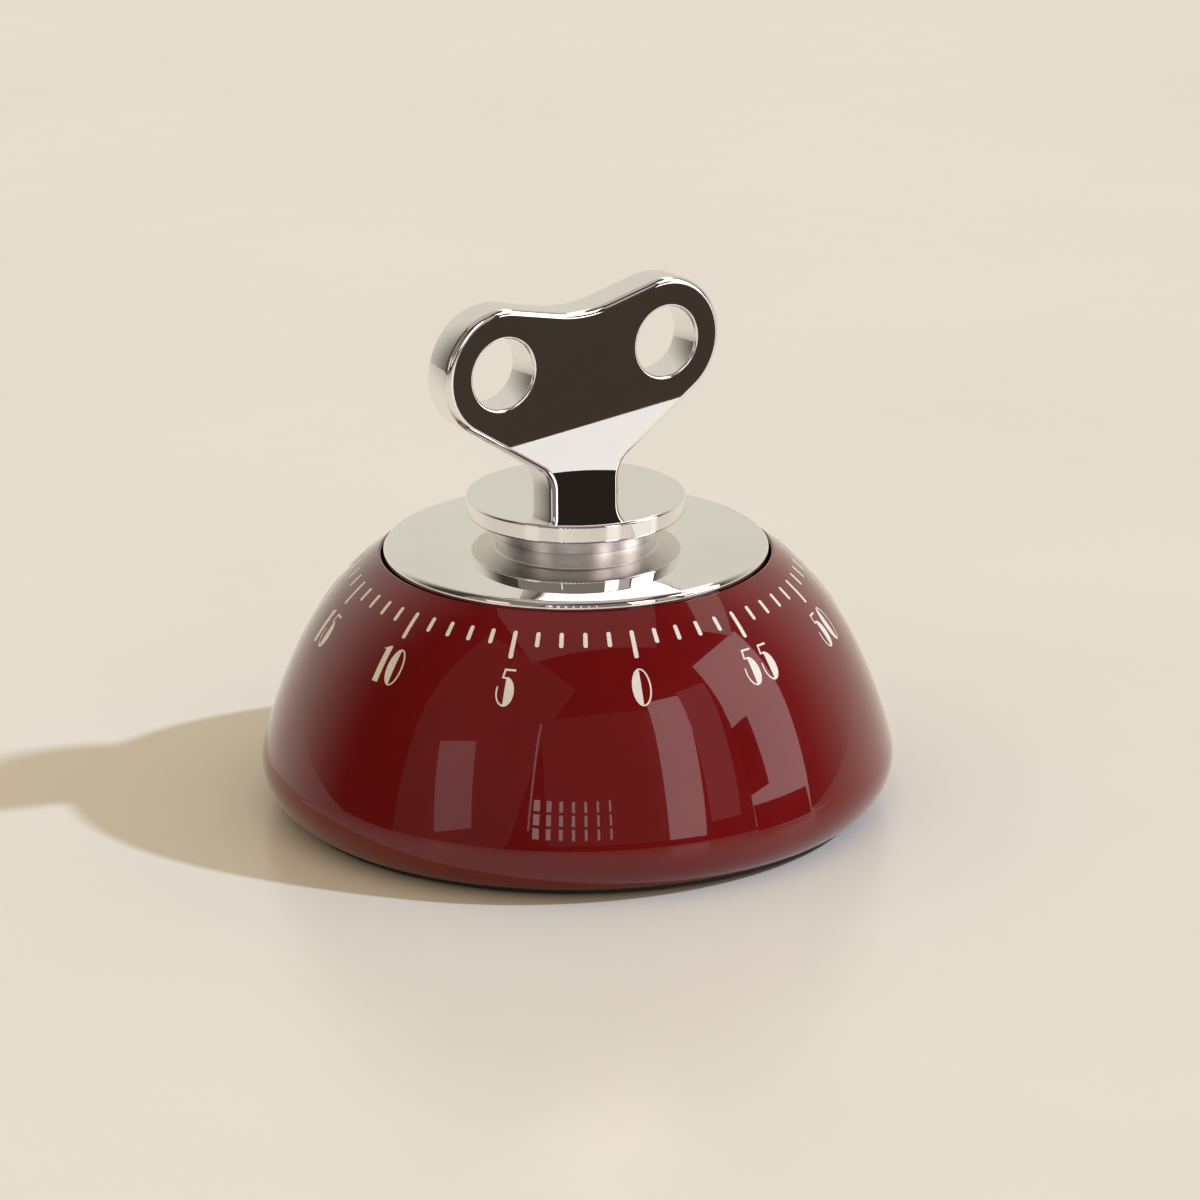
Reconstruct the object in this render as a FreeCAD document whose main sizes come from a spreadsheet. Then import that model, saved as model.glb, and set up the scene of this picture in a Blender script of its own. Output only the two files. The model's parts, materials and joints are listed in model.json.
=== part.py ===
import FreeCAD, Part
import math
import os
import re

import Sketcher

# Wind-up kitchen timer: a glossy domed shell on a flat base, a chromed cap, collar and winding key
# on top, and a spring-driven movement with a bell inside. Millimetres, +Z up. The origin is on the
# axis of the key, on the surface that the timer stands on, and the zero mark faces -Y.

SIZES = {
    # dome shell: three tangent-like arcs, from the bottom edge up to the lip round the cap
    "shell_bottom_radius": 36.8446,
    "shell_bottom": 0.8,
    "shell_corner_radius": 5.788,
    "shell_corner_out": 39.9988,
    "shell_corner_top": 7.4353,
    "shell_side_radius": 63.216,
    "shell_shoulder_out": 34.9935,
    "shell_shoulder": 20.8441,
    "shell_top_radius": 34.706,
    "shell_lip_out": 24.95,
    "shell_lip": 32.8204,
    "shell_mouth": 24.6,
    "shell_mouth_top": 33.0,
    "shell_mouth_bottom": 30.2999,
    "shell_inner_shoulder_out": 33.0327,
    "shell_inner_shoulder": 19.8463,
    "shell_inner_top_radius": 32.506,
    "shell_inner_side_radius": 61.016,
    "shell_inner_foot_out": 38.0815,
    "shell_inner_foot": 6.0,
    "shell_inner_bottom_out": 35.9,
    "boss_ring": 28.0,
    "boss_radius": 3.0,
    "boss_bottom": 2.8,
    "boss_height": 22.8,
    "boss_hole": 1.2,
    "boss_hole_depth": 8.0,
    "boss_angle": 75.0,
    # base plate, foot and screws
    "base_bottom": 0.3,
    "base_flange": 36.5,
    "base_spigot": 35.6,
    "base_top": 2.8,
    "groove_inner": 31.4,
    "groove_outer": 34.8,
    "groove_top": 1.0,
    "foot_inner": 31.6,
    "foot_outer": 34.6,
    "standoff_ring": 26.0,
    "standoff_radius": 2.6,
    "standoff_hole": 1.3,
    "standoff_angle": 15.0,
    "base_screw_sink": 2.8,
    "base_screw_seat": 1.6,
    "base_screw_head": 2.5,
    "base_screw_face": 0.7,
    "screw_shank": 1.15,
    "screw_clear": 1.4,
    "base_screw_tip": 10.0,
    "movement_screw_head": 2.2,
    "movement_screw_top": 12.5,
    "movement_screw_tip": 5.0,
    "slot_half_width": 0.3,
    "base_slot_half": 1.4,
    "movement_slot_half": 1.2,
    "pillar_slot_half": 0.95,
    "slot_depth": 0.5,
    # movement plates and pillars
    "plate_radius": 23.5,
    "plate_gauge": 1.0,
    "lower_plate": 10.5,
    "lower_plate_top": 11.5,
    "upper_plate": 26.0,
    "upper_plate_top": 27.0,
    "ear_radius": 3.5,
    "pillar_ring": 20.5,
    "pillar_radius": 1.5,
    "pillar_spigot": 0.98,
    "pillar_spigot_hole": 1.0,
    "pillar_angle": 140.0,
    "pillar_sweep": 180.0,
    "pillar_bore": 0.9,
    "pillar_bore_bottom": 22.0,
    "pillar_screw_shank": 0.85,
    "pillar_screw_tip": 22.6,
    "pillar_screw_head": 1.8,
    "pillar_screw_top": 27.9,
    "bush_radius": 1.3,
    "bush_bore": 0.45,
    "wide_bush_bore": 0.55,
    # centre arbor and what turns with the key
    "arbor_radius": 2.5,
    "arbor_pivot": 1.5,
    "arbor_pivot_hole": 1.55,
    "arbor_hole": 2.56,
    "arbor_seat": 2.52,
    "arbor_bottom": 10.6,
    "arbor_shoulder": 11.7,
    "arbor_square_bottom": 29.6,
    "arbor_square": 3.2,
    "arbor_square_length": 2.4,
    "bush_bottom": 29.8,
    "bush_square": 3.3,
    "bush_square_depth": 2.3,
    "drive_bush": 5.0,
    "drive_flange": 8.0,
    "drive_flange_bottom": 33.7,
    "drive_bush_top": 34.45,
    "stud_radius": 1.2,
    "stud_clear": 1.25,
    "stud_bottom": 32.4,
    "stud_length": 14.4,
    "cam_bottom": 28.0,
    "cam_gauge": 1.4,
    "cam_radius": 9.0,
    "cam_notch_width": 2.4,
    "cam_notch_depth": 1.6,
    "cam_notch_length": 2.6,
    "cam_notch_angle": 128.0,
    "stop_ring": 8.2,
    "stop_radius": 0.35,
    "stop_post_angle": 40.0,
    "stop_gap_angle": 5.7,
    "stop_pin_bottom": 27.3,
    "stop_post_height": 0.9,
    "saw_tip_start": 0.1667,
    "saw_tip_end": 0.2778,
    "ratchet_teeth": 16,
    "ratchet_tip": 5.5,
    "ratchet_root": 4.7,
    "ratchet_bottom": 17.9,
    "ratchet_gauge": 1.0,
    # chromed cap, collar disc and key
    "cap_radius": 24.35,
    "cap_bottom": 32.2,
    "cap_edge": 33.1,
    "cap_rim_radius": 0.8,
    "cap_rim_out": 23.55,
    "cap_rim_top": 33.9,
    "cap_crown": 35.9,
    "cap_crown_radius": 139.65,
    "cap_skirt_inner": 22.9,
    "cap_skirt_top": 32.8,
    "cap_under": 34.7,
    "collar_bottom": 35.92,
    "collar_step_bottom": 35.538,
    "collar_step": 10.4,
    "collar_disc_bottom": 37.9,
    "collar_top": 40.3,
    "collar_radius": 13.88,
    "collar_round": 0.4,
    "key_turn": 20.3,
    "key_thickness": 5.0,
    "key_lobe_out": 12.35,
    "key_lobe_height": 58.55,
    "key_lobe_radius": 8.35,
    "key_eye_radius": 4.5,
    "key_valley_out": 3.6779,
    "key_valley_side": 65.1175,
    "key_crest_out": 10.4717,
    "key_crest": 66.686,
    "key_flank_out": 16.9465,
    "key_flank": 51.579,
    "key_throat_out": 6.7059,
    "key_throat": 44.8266,
    "key_stem": 5.2,
    "key_stem_top": 42.0298,
    "key_valley_radius": 16.35,
    "key_throat_radius": 3.35,
    "key_bevel": 0.5,
    "key_bore_depth": 6.8,
    # going train
    "pressure_angle": 20.0,
    "tooth_slack": 0.14,
    "wheel_addendum": 0.7,
    "pinion_addendum": 0.85,
    "dedendum": 1.15,
    "main_teeth": 72,
    "second_teeth": 60,
    "third_teeth": 54,
    "pinion_teeth": 12,
    "main_module": 0.4,
    "fine_module": 0.35,
    "main_wheel_bottom": 19.0,
    "main_wheel_gauge": 1.2,
    "main_wheel_bore": 2.55,
    "second_angle": 0.0,
    "third_angle": 111.06,
    "escape_angle": 153.7,
    "anchor_angle": 187.03,
    "second_pinion_bottom": 18.8,
    "second_wheel_bottom": 21.6,
    "third_pinion_bottom": 21.2,
    "third_wheel_bottom": 24.0,
    "escape_pinion_bottom": 23.6,
    "pinion_length": 1.6,
    "wheel_gauge": 0.8,
    "main_wheel_hub": 10.2,
    "wheel_hub": 2.6,
    "rim_share": 0.84,
    "spoke_share": 0.16,
    "shaft_radius": 0.75,
    "pivot_radius": 0.4,
    "shaft_gap": 0.1,
    "escape_teeth": 18,
    "escape_tip": 5.5,
    "escape_root": 4.2,
    "escape_bottom": 14.5,
    # anchor, balance bar
    "anchor_distance": 7.93,
    "pallet_ring": 6.15,
    "pallet_pin": 0.3,
    "pallet_pin_bottom": 14.2,
    "pallet_bottom": 15.9,
    "pallet_hub": 1.6,
    "pallet_arm_width": 1.2,
    "pallet_tip": 0.8,
    "balance_bottom": 17.7,
    "balance_half": 4.5,
    "balance_weight": 0.9,
    # mainspring and click
    "spring_bottom": 12.2,
    "spring_height": 5.0,
    "spring_strip": 0.3,
    "spring_pitch": 1.0,
    "spring_inner": 3.3,
    "spring_half_turns": 15,
    "anchor_post": 0.8,
    "anchor_post_height": 6.0,
    "click_ring": 9.0,
    "click_angle": 143.0,
    "click_length": 4.2,
    "click_half_width": 0.6,
    "click_hub": 1.2,
    "click_rivet": 0.5,
    "click_spring_gauge": 0.25,
    "click_spring_length": 5.0,
    "click_spring_gap": 1.0,
    "click_spring_start": 1.5,
    # bell and hammer
    "bell_x": 4.0,
    "bell_y": -2.0,
    "bell_radius": 18.0,
    "bell_gauge": 0.7,
    "bell_top": 9.5,
    "bell_flat": 13.0,
    "bell_bend": 5.0,
    "bell_rim": 3.6,
    "bell_spacer": 3.0,
    "bell_screw_head": 2.4,
    "bell_screw_head_height": 1.0,
    "hammer_x": -17.5,
    "hammer_y": -13.5,
    "hammer_stud": 1.0,
    "hammer_stud_head": 1.8,
    "hammer_stud_bottom": 7.3,
    "hammer_stud_shoulder": 9.5,
    "hammer_bore": 1.06,
    "hammer_arm_bottom": 8.2,
    "hammer_arm_gauge": 1.0,
    "hammer_hub": 2.2,
    "hammer_arm_width": 1.6,
    "hammer_reach": 11.54,
    "hammer_arm_angle": 85.03,
    "hammer_head": 2.0,
    "hammer_head_bottom": 4.2,
    # release lever
    "release_x": -17.5,
    "release_pivot": 0.5,
    "release_bottom": 9.65,
    "release_top": 29.4,
    "lever_bottom": 28.2,
    "lever_gauge": 1.0,
    "lever_angle": 38.0,
    "lever_length": 13.8,
    "lever_half_width": 0.9,
    "lever_nose": 0.5,
    "lever_nose_ring": 9.65,
    "lever_hub": 1.6,
    "stop_arm_gauge": 0.6,
    "stop_arm_length": 6.0,
    "stop_tab": 0.6,
    "stop_arm_angle": -110.0,
    "stop_tab_drop": 1.4,
    "leaf_gauge": 0.25,
    "leaf_length": 7.0,
    "leaf_offset": 2.2,
    "leaf_start": 2.5,
}

doc = FreeCAD.newDocument("kitchen_timer")
sheet = doc.addObject("Spreadsheet::Sheet", "dims")
for row, (alias, number) in enumerate(SIZES.items(), start=1):
    sheet.set(f"A{row}", alias)
    sheet.set(f"B{row}", str(number))
    sheet.setAlias(f"B{row}", alias)
doc.recompute()

FLANK_STEPS = 4
NODES = []
CENTRE = FreeCAD.Vector(0, 0, 0)


def value(text):
    """Return the number that a sum of sheet names and plain numbers stands for."""
    total = 0.0
    for sign, term in re.findall(r"([+-]?)\s*([\w.]+)", text):
        amount = SIZES[term] if term in SIZES else float(term)
        total += -amount if sign == "-" else amount
    return total


def bound(text):
    """Return the same sum as an expression that reads the sheet."""
    return re.sub(r"[a-z]\w*", lambda name: "dims." + name.group(), text)


def bind(item, prop, text):
    """Bind a property of a document object to a sum of sheet names."""
    item.setExpression(prop, bound(text))


def keep(item, label):
    """Name a finished sub-part and put it on the list of nodes."""
    item.Label = label
    NODES.append(item)
    return item


# ---- sketches and PartDesign bodies ------------------------------------------------------------


def new_body(name):
    """Start a PartDesign body that may hold several separate solids."""
    body = doc.addObject("PartDesign::Body", name + "_body")
    body.AllowCompound = True
    return body


def new_sketch(body, plane, lift="0", out="0"):
    """Add a sketch on one of the body's own origin planes, lifted along Z or moved along X."""
    sketch = body.newObject("Sketcher::SketchObject", body.Name + "_sketch")
    support = [f for f in body.Origin.OriginFeatures if f.Role == plane][0]
    sketch.AttachmentSupport = (support, "")
    sketch.MapMode = "FlatFace"
    if lift != "0":
        bind(sketch, "AttachmentOffset.Base.z", lift)
    if out != "0":
        bind(sketch, "AttachmentOffset.Base.x", out)
    doc.recompute()
    return sketch


def place_point(sketch, geometry, end, x, y):
    """Fix one point of a sketch by two distances from its origin."""
    if value(x) == 0:
        sketch.addConstraint(Sketcher.Constraint("PointOnObject", geometry, end, -2))
    else:
        rule = Sketcher.Constraint("DistanceX", -1, 1, geometry, end, value(x))
        number = sketch.addConstraint(rule)
        bind(sketch, f"Constraints[{number}]", x)
    if value(y) == 0:
        sketch.addConstraint(Sketcher.Constraint("PointOnObject", geometry, end, -1))
    else:
        rule = Sketcher.Constraint("DistanceY", -1, 1, geometry, end, value(y))
        number = sketch.addConstraint(rule)
        bind(sketch, f"Constraints[{number}]", y)


def bind_radius(sketch, geometry, radius):
    """Bind the radius of a circle or an arc."""
    number = sketch.addConstraint(Sketcher.Constraint("Radius", geometry, value(radius)))
    bind(sketch, f"Constraints[{number}]", radius)


def draw_edge(sketch, start, end, radius, side):
    """Draw a line, or an arc that bulges left (side 1) or right (side -1) of its direction."""
    if radius is None:
        return sketch.addGeometry(Part.LineSegment(start, end), False), 1, 2
    chord = end - start
    left = FreeCAD.Vector(-chord.y, chord.x, 0).normalize()
    depth = math.sqrt(value(radius) ** 2 - (chord.Length / 2) ** 2)
    centre = (start + end) * 0.5 - left * (side * depth)
    first, last = (start, end) if side < 0 else (end, start)
    angles = [math.atan2(p.y - centre.y, p.x - centre.x) for p in (first, last)]
    circle = Part.Circle(centre, FreeCAD.Vector(0, 0, 1), value(radius))
    edge = sketch.addGeometry(Part.ArcOfCircle(circle, angles[0], angles[1]), False)
    bind_radius(sketch, edge, radius)
    return (edge, 1, 2) if side < 0 else (edge, 2, 1)


def draw_outline(sketch, points):
    """Draw a closed outline through (x, y) corners; a corner may add the radius and side of its edge."""
    corners = [FreeCAD.Vector(value(p[0]), value(p[1]), 0) for p in points]
    edges = []
    for number, point in enumerate(points):
        radius, side = point[2:] if len(point) == 4 else (None, 0)
        following = corners[(number + 1) % len(points)]
        edges.append(draw_edge(sketch, corners[number], following, radius, side))
    for number, point in enumerate(points):
        edge, first, _ = edges[number]
        before, _, last = edges[number - 1]
        sketch.addConstraint(Sketcher.Constraint("Coincident", before, last, edge, first))
        place_point(sketch, edge, first, point[0], point[1])


def draw_circle(sketch, x, y, radius):
    """Draw a circle with its centre and radius bound to the sheet."""
    centre = FreeCAD.Vector(value(x), value(y), 0)
    circle = Part.Circle(centre, FreeCAD.Vector(0, 0, 1), value(radius))
    edge = sketch.addGeometry(circle, False)
    bind_radius(sketch, edge, radius)
    place_point(sketch, edge, 3, x, y)


def turned(name, outline, out="0"):
    """Make a body by turning an outline about an upright axis that stands out along X."""
    body = new_body(name)
    sketch = new_sketch(body, "XZ_Plane", out=out)
    draw_outline(sketch, outline)
    turn = body.newObject("PartDesign::Revolution", name + "_turn")
    turn.Profile = sketch
    turn.ReferenceAxis = (sketch, ["V_Axis"])
    turn.Angle = 360
    doc.recompute()
    return body


def pad(body, circles, floor, height):
    """Pad upright posts, or rings where one circle lies in another."""
    sketch = new_sketch(body, "XY_Plane", lift=floor)
    for circle in circles:
        draw_circle(sketch, *circle)
    feature = body.newObject("PartDesign::Pad", body.Name + "_pad")
    feature.Profile = sketch
    bind(feature, "Length", height)
    doc.recompute()
    return feature


def pocket(body, circles, roof, depth):
    """Cut round holes down from a height; the volume has to fall."""
    before = body.Shape.Volume
    sketch = new_sketch(body, "XY_Plane", lift=roof)
    for circle in circles:
        draw_circle(sketch, *circle)
    feature = body.newObject("PartDesign::Pocket", body.Name + "_pocket")
    feature.Profile = sketch
    bind(feature, "Length", depth)
    doc.recompute()
    check_cut(body, before)
    return feature


def check_cut(body, before):
    """Stop if a cut has taken nothing away."""
    if body.Shape.Volume > before - 1e-6:
        raise RuntimeError(f"a cut in {body.Name} removed nothing")


def cut_slots(body, name, face, out, half_length, upwards=False):
    """Cut a cross recess for a screwdriver into a head, down from its face or up into it."""
    before = body.Shape.Volume
    cuts = []
    for number, (wide, deep) in enumerate(
        ((half_length, "slot_half_width"), ("slot_half_width", half_length))
    ):
        sketch = new_sketch(body, "XY_Plane", lift=face)
        left, right = f"{out} - {wide}", f"{out} + {wide}"
        draw_outline(sketch, [(left, f"-{deep}"), (right, f"-{deep}"), (right, deep), (left, deep)])
        slot = body.newObject("PartDesign::Pocket", f"{name}_slot{number}")
        slot.Profile = sketch
        slot.Reversed = upwards
        bind(slot, "Length", "slot_depth")
        cuts.append(slot)
        doc.recompute()
    check_cut(body, before)
    return cuts


def polar(body, features, copies, sweep="360"):
    """Repeat features about the body's upright axis, and make the result the body's tip."""
    pattern = body.newObject("PartDesign::PolarPattern", body.Name + "_pattern")
    pattern.Originals = features
    axis = [f for f in body.Origin.OriginFeatures if f.Role == "Z_Axis"][0]
    pattern.Axis = (axis, [""])
    bind(pattern, "Angle", sweep)
    pattern.Occurrences = copies
    body.Tip = pattern
    doc.recompute()
    return pattern


def turn_body(body, angle):
    """Turn a finished body about the upright axis."""
    body.Placement.Rotation = FreeCAD.Rotation(FreeCAD.Vector(0, 0, 1), 0)
    bind(body, "Placement.Rotation.Angle", angle)


# ---- Part primitives ---------------------------------------------------------------------------


def cylinder(name, radius, floor, height, place=CENTRE):
    """Make an upright cylinder at a point."""
    item = doc.addObject("Part::Cylinder", name)
    bind(item, "Radius", radius)
    bind(item, "Height", height)
    item.Placement.Base = place
    bind(item, "Placement.Base.z", floor)
    return item


def bar(name, length, width, height, floor, centre, angle, start=0.0, shift=0.0):
    """Make a flat bar that leaves a point at an angle, centred on that direction or shifted left."""
    item = doc.addObject("Part::Box", name)
    bind(item, "Length", length)
    bind(item, "Width", width)
    bind(item, "Height", height)
    way = math.radians(angle)
    along = FreeCAD.Vector(math.cos(way), math.sin(way), 0)
    left = FreeCAD.Vector(-math.sin(way), math.cos(way), 0)
    corner = centre + along * start + left * (shift - value(width) / 2)
    corner.z = value(floor)
    turn = FreeCAD.Rotation(FreeCAD.Vector(0, 0, 1), angle)
    item.Placement = FreeCAD.Placement(corner, turn)
    return item


def fuse(name, items):
    """Join shapes into one."""
    whole = doc.addObject("Part::MultiFuse", name)
    whole.Shapes = items
    return whole


def cut(name, base, tool):
    """Take one shape away from another."""
    left = doc.addObject("Part::Cut", name)
    left.Base = base
    left.Tool = tool
    return left


def group(name, items):
    """Hold several separate solids in one node."""
    whole = doc.addObject("Part::Compound", name)
    whole.Links = items
    return whole


def computed(name, shape, place):
    """Put a computed shape in the document at its place."""
    item = doc.addObject("Part::Feature", name)
    item.Shape = shape
    item.Placement = place
    return item


def polar_point(radius, angle, centre=CENTRE):
    """Return a point at a distance and an angle in degrees from a centre."""
    way = math.radians(angle)
    return centre + FreeCAD.Vector(radius * math.cos(way), radius * math.sin(way), 0)


# ---- casing ------------------------------------------------------------------------------------


def make_shell():
    """The domed shell, with three screw bosses inside."""
    outline = [
        ("shell_bottom_radius", "shell_bottom", "shell_corner_radius", -1),
        ("shell_corner_out", "shell_corner_top", "shell_side_radius", -1),
        ("shell_shoulder_out", "shell_shoulder", "shell_top_radius", -1),
        ("shell_lip_out", "shell_lip"),
        ("shell_mouth", "shell_mouth_top"),
        ("shell_mouth", "shell_mouth_bottom", "shell_inner_top_radius", 1),
        ("shell_inner_shoulder_out", "shell_inner_shoulder", "shell_inner_side_radius", 1),
        ("shell_inner_foot_out", "shell_inner_foot"),
        ("shell_inner_bottom_out", "shell_bottom"),
    ]
    body = turned("shell", outline)
    boss = pad(body, [("boss_ring", "0", "boss_radius")], "boss_bottom", "boss_height")
    polar(body, [boss], 3)
    hole = pocket(
        body,
        [("boss_ring", "0", "boss_hole")],
        "boss_bottom + boss_hole_depth",
        "boss_hole_depth",
    )
    polar(body, [hole], 3)
    turn_body(body, "boss_angle")
    keep(body, "body_shell")


def make_base():
    """The base plate with its standoffs, the rubber foot ring and the screws from below."""
    outline = [
        ("0", "base_bottom"),
        ("groove_inner", "base_bottom"),
        ("groove_inner", "groove_top"),
        ("groove_outer", "groove_top"),
        ("groove_outer", "base_bottom"),
        ("base_flange", "base_bottom"),
        ("base_flange", "shell_bottom"),
        ("base_spigot", "shell_bottom"),
        ("base_spigot", "base_top"),
        ("0", "base_top"),
    ]
    body = turned("base", outline)
    posts = [("standoff_ring", "0", "standoff_radius"), ("standoff_ring", "0", "standoff_hole")]
    post = pad(body, posts, "base_top", "lower_plate - base_top")
    polar(body, [post], 3)
    turn_body(body, "standoff_angle")
    sinks = []
    for number in range(3):
        place = polar_point(value("boss_ring"), value("boss_angle") + 120 * number)
        for radius, height in (("base_screw_sink", "base_screw_seat"), ("screw_clear", "base_top")):
            sinks.append(cylinder(f"base_sink_{radius}_{number}", radius, "0", height, place))
    keep(cut("base_drilled", body, fuse("base_sinks", sinks)), "base_plate")

    ring = [
        ("foot_inner", "0"),
        ("foot_outer", "0"),
        ("foot_outer", "groove_top"),
        ("foot_inner", "groove_top"),
    ]
    keep(turned("foot", ring), "foot_ring")

    screw = [
        ("0", "base_screw_face"),
        ("base_screw_head", "base_screw_face"),
        ("base_screw_head", "base_screw_seat"),
        ("screw_shank", "base_screw_seat"),
        ("screw_shank", "base_screw_tip"),
        ("0", "base_screw_tip"),
    ]
    body = turned("base_screw", screw, out="boss_ring")
    head = [body.Tip]
    head += cut_slots(
        body, "base_screw", "base_screw_face", "boss_ring", "base_slot_half", upwards=True
    )
    polar(body, head, 3)
    turn_body(body, "boss_angle")
    keep(body, "base_screws")


# ---- movement frame ----------------------------------------------------------------------------

MAIN_PITCH = value("main_module") * (value("main_teeth") + value("pinion_teeth")) / 2
SECOND_PITCH = value("fine_module") * (value("second_teeth") + value("pinion_teeth")) / 2
THIRD_PITCH = value("fine_module") * (value("third_teeth") + value("pinion_teeth")) / 2
SECOND = polar_point(MAIN_PITCH, value("second_angle"))
THIRD = polar_point(SECOND_PITCH, value("third_angle"), SECOND)
ESCAPE = polar_point(THIRD_PITCH, value("escape_angle"), THIRD)
ANCHOR = polar_point(value("anchor_distance"), value("anchor_angle"), ESCAPE)
RELEASE = FreeCAD.Vector(value("release_x"), 0, 0)
HAMMER = FreeCAD.Vector(value("hammer_x"), value("hammer_y"), 0)
BELL = FreeCAD.Vector(value("bell_x"), value("bell_y"), 0)


def hole_at(name, radius, place):
    """Make a tool for a hole through a movement plate, whichever plate it is."""
    return cylinder(name, radius, "0", "upper_plate_top + plate_gauge", place)


def pillar_places():
    """Return the centres of the four pillars."""
    step = value("pillar_sweep") / 3
    return [polar_point(value("pillar_ring"), value("pillar_angle") + step * n) for n in range(4)]


def make_plates():
    """The two movement plates; the lower one has three ears for the movement screws."""
    ears = []
    ear_holes = []
    for number in range(3):
        place = polar_point(value("standoff_ring"), value("standoff_angle") + 120 * number)
        ears.append(cylinder(f"ear_{number}", "ear_radius", "lower_plate", "plate_gauge", place))
        ear_holes.append(hole_at(f"ear_hole_{number}", "screw_clear", place))
    bushed = [SECOND, THIRD, ESCAPE, ANCHOR, RELEASE]
    for plate, extras in (("lower", ears), ("upper", [])):
        disc = cylinder(f"{plate}_disc", "plate_radius", f"{plate}_plate", "plate_gauge")
        blank = fuse(f"{plate}_blank", [disc] + extras) if extras else disc
        centre_hole = "arbor_pivot_hole" if plate == "lower" else "arbor_hole"
        tools = [hole_at(f"{plate}_centre_hole", centre_hole, CENTRE)]
        for number, place in enumerate(bushed):
            tools.append(hole_at(f"{plate}_bush_hole_{number}", "bush_radius", place))
        for number, place in enumerate(pillar_places()):
            name = f"{plate}_pillar_hole_{number}"
            tools.append(hole_at(name, "pillar_spigot_hole", place))
        if plate == "lower":
            tools.append(hole_at("bell_hole", "stud_clear", BELL))
            tools.append(hole_at("hammer_hole", "hammer_stud", HAMMER))
            tools.extend(ear_holes)
        drilled = cut(f"{plate}_drilled", blank, fuse(f"{plate}_holes", tools))
        keep(drilled, f"{plate}_plate")
    rings = []
    for plate in ("lower", "upper"):
        for number, place in enumerate(bushed):
            bore = "wide_bush_bore" if place == RELEASE else "bush_bore"
            floor = f"{plate}_plate"
            outer = cylinder(f"{plate}_bush_{number}", "bush_radius", floor, "plate_gauge", place)
            inner = cylinder(f"{plate}_bore_{number}", bore, floor, "plate_gauge", place)
            rings.append(cut(f"{plate}_bush_ring_{number}", outer, inner))
    keep(group("bush_group", rings), "arbor_bushes")


def make_pillars():
    """Four pillars between the plates, and the screws that hold the upper plate and the frame."""
    pillar = [
        ("0", "lower_plate"),
        ("pillar_spigot", "lower_plate"),
        ("pillar_spigot", "lower_plate_top"),
        ("pillar_radius", "lower_plate_top"),
        ("pillar_radius", "upper_plate"),
        ("pillar_bore", "upper_plate"),
        ("pillar_bore", "pillar_bore_bottom"),
        ("0", "pillar_bore_bottom"),
    ]
    body = turned("pillar", pillar, out="pillar_ring")
    polar(body, [body.Tip], 4, "pillar_sweep")
    turn_body(body, "pillar_angle")
    keep(body, "plate_pillars")

    screw = [
        ("0", "pillar_screw_tip"),
        ("pillar_screw_shank", "pillar_screw_tip"),
        ("pillar_screw_shank", "upper_plate_top"),
        ("pillar_screw_head", "upper_plate_top"),
        ("pillar_screw_head", "pillar_screw_top"),
        ("0", "pillar_screw_top"),
    ]
    body = turned("pillar_screw", screw, out="pillar_ring")
    head = [body.Tip]
    head += cut_slots(body, "pillar_screw", "pillar_screw_top", "pillar_ring", "pillar_slot_half")
    polar(body, head, 4, "pillar_sweep")
    turn_body(body, "pillar_angle")
    keep(body, "pillar_screws")

    screw = [
        ("0", "movement_screw_tip"),
        ("screw_shank", "movement_screw_tip"),
        ("screw_shank", "lower_plate_top"),
        ("movement_screw_head", "lower_plate_top"),
        ("movement_screw_head", "movement_screw_top"),
        ("0", "movement_screw_top"),
    ]
    body = turned("movement_screw", screw, out="standoff_ring")
    head = [body.Tip]
    head += cut_slots(
        body, "movement_screw", "movement_screw_top", "standoff_ring", "movement_slot_half"
    )
    polar(body, head, 3)
    turn_body(body, "standoff_angle")
    keep(body, "movement_screws")


# ---- what turns with the key -------------------------------------------------------------------


def make_cap_and_collar():
    """The chromed cap that closes the dome, and the collar disc under the key."""
    cap = [
        ("stud_clear", "cap_under", "cap_crown_radius", 1),
        ("cap_skirt_inner", "cap_skirt_top"),
        ("cap_skirt_inner", "cap_bottom"),
        ("cap_radius", "cap_bottom"),
        ("cap_radius", "cap_edge", "cap_rim_radius", -1),
        ("cap_rim_out", "cap_rim_top", "cap_crown_radius", -1),
        ("stud_clear", "cap_crown"),
    ]
    keep(turned("cap", cap), "dial_cap")
    collar = [
        ("stud_clear", "collar_bottom", "cap_crown_radius", 1),
        ("collar_step", "collar_step_bottom"),
        ("collar_step", "collar_disc_bottom"),
        ("collar_radius - collar_round", "collar_disc_bottom", "collar_round", -1),
        ("collar_radius", "collar_disc_bottom + collar_round"),
        ("collar_radius", "collar_top - collar_round", "collar_round", -1),
        ("collar_radius - collar_round", "collar_top"),
        ("stud_clear", "collar_top"),
    ]
    keep(turned("collar", collar), "collar_disc")


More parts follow.
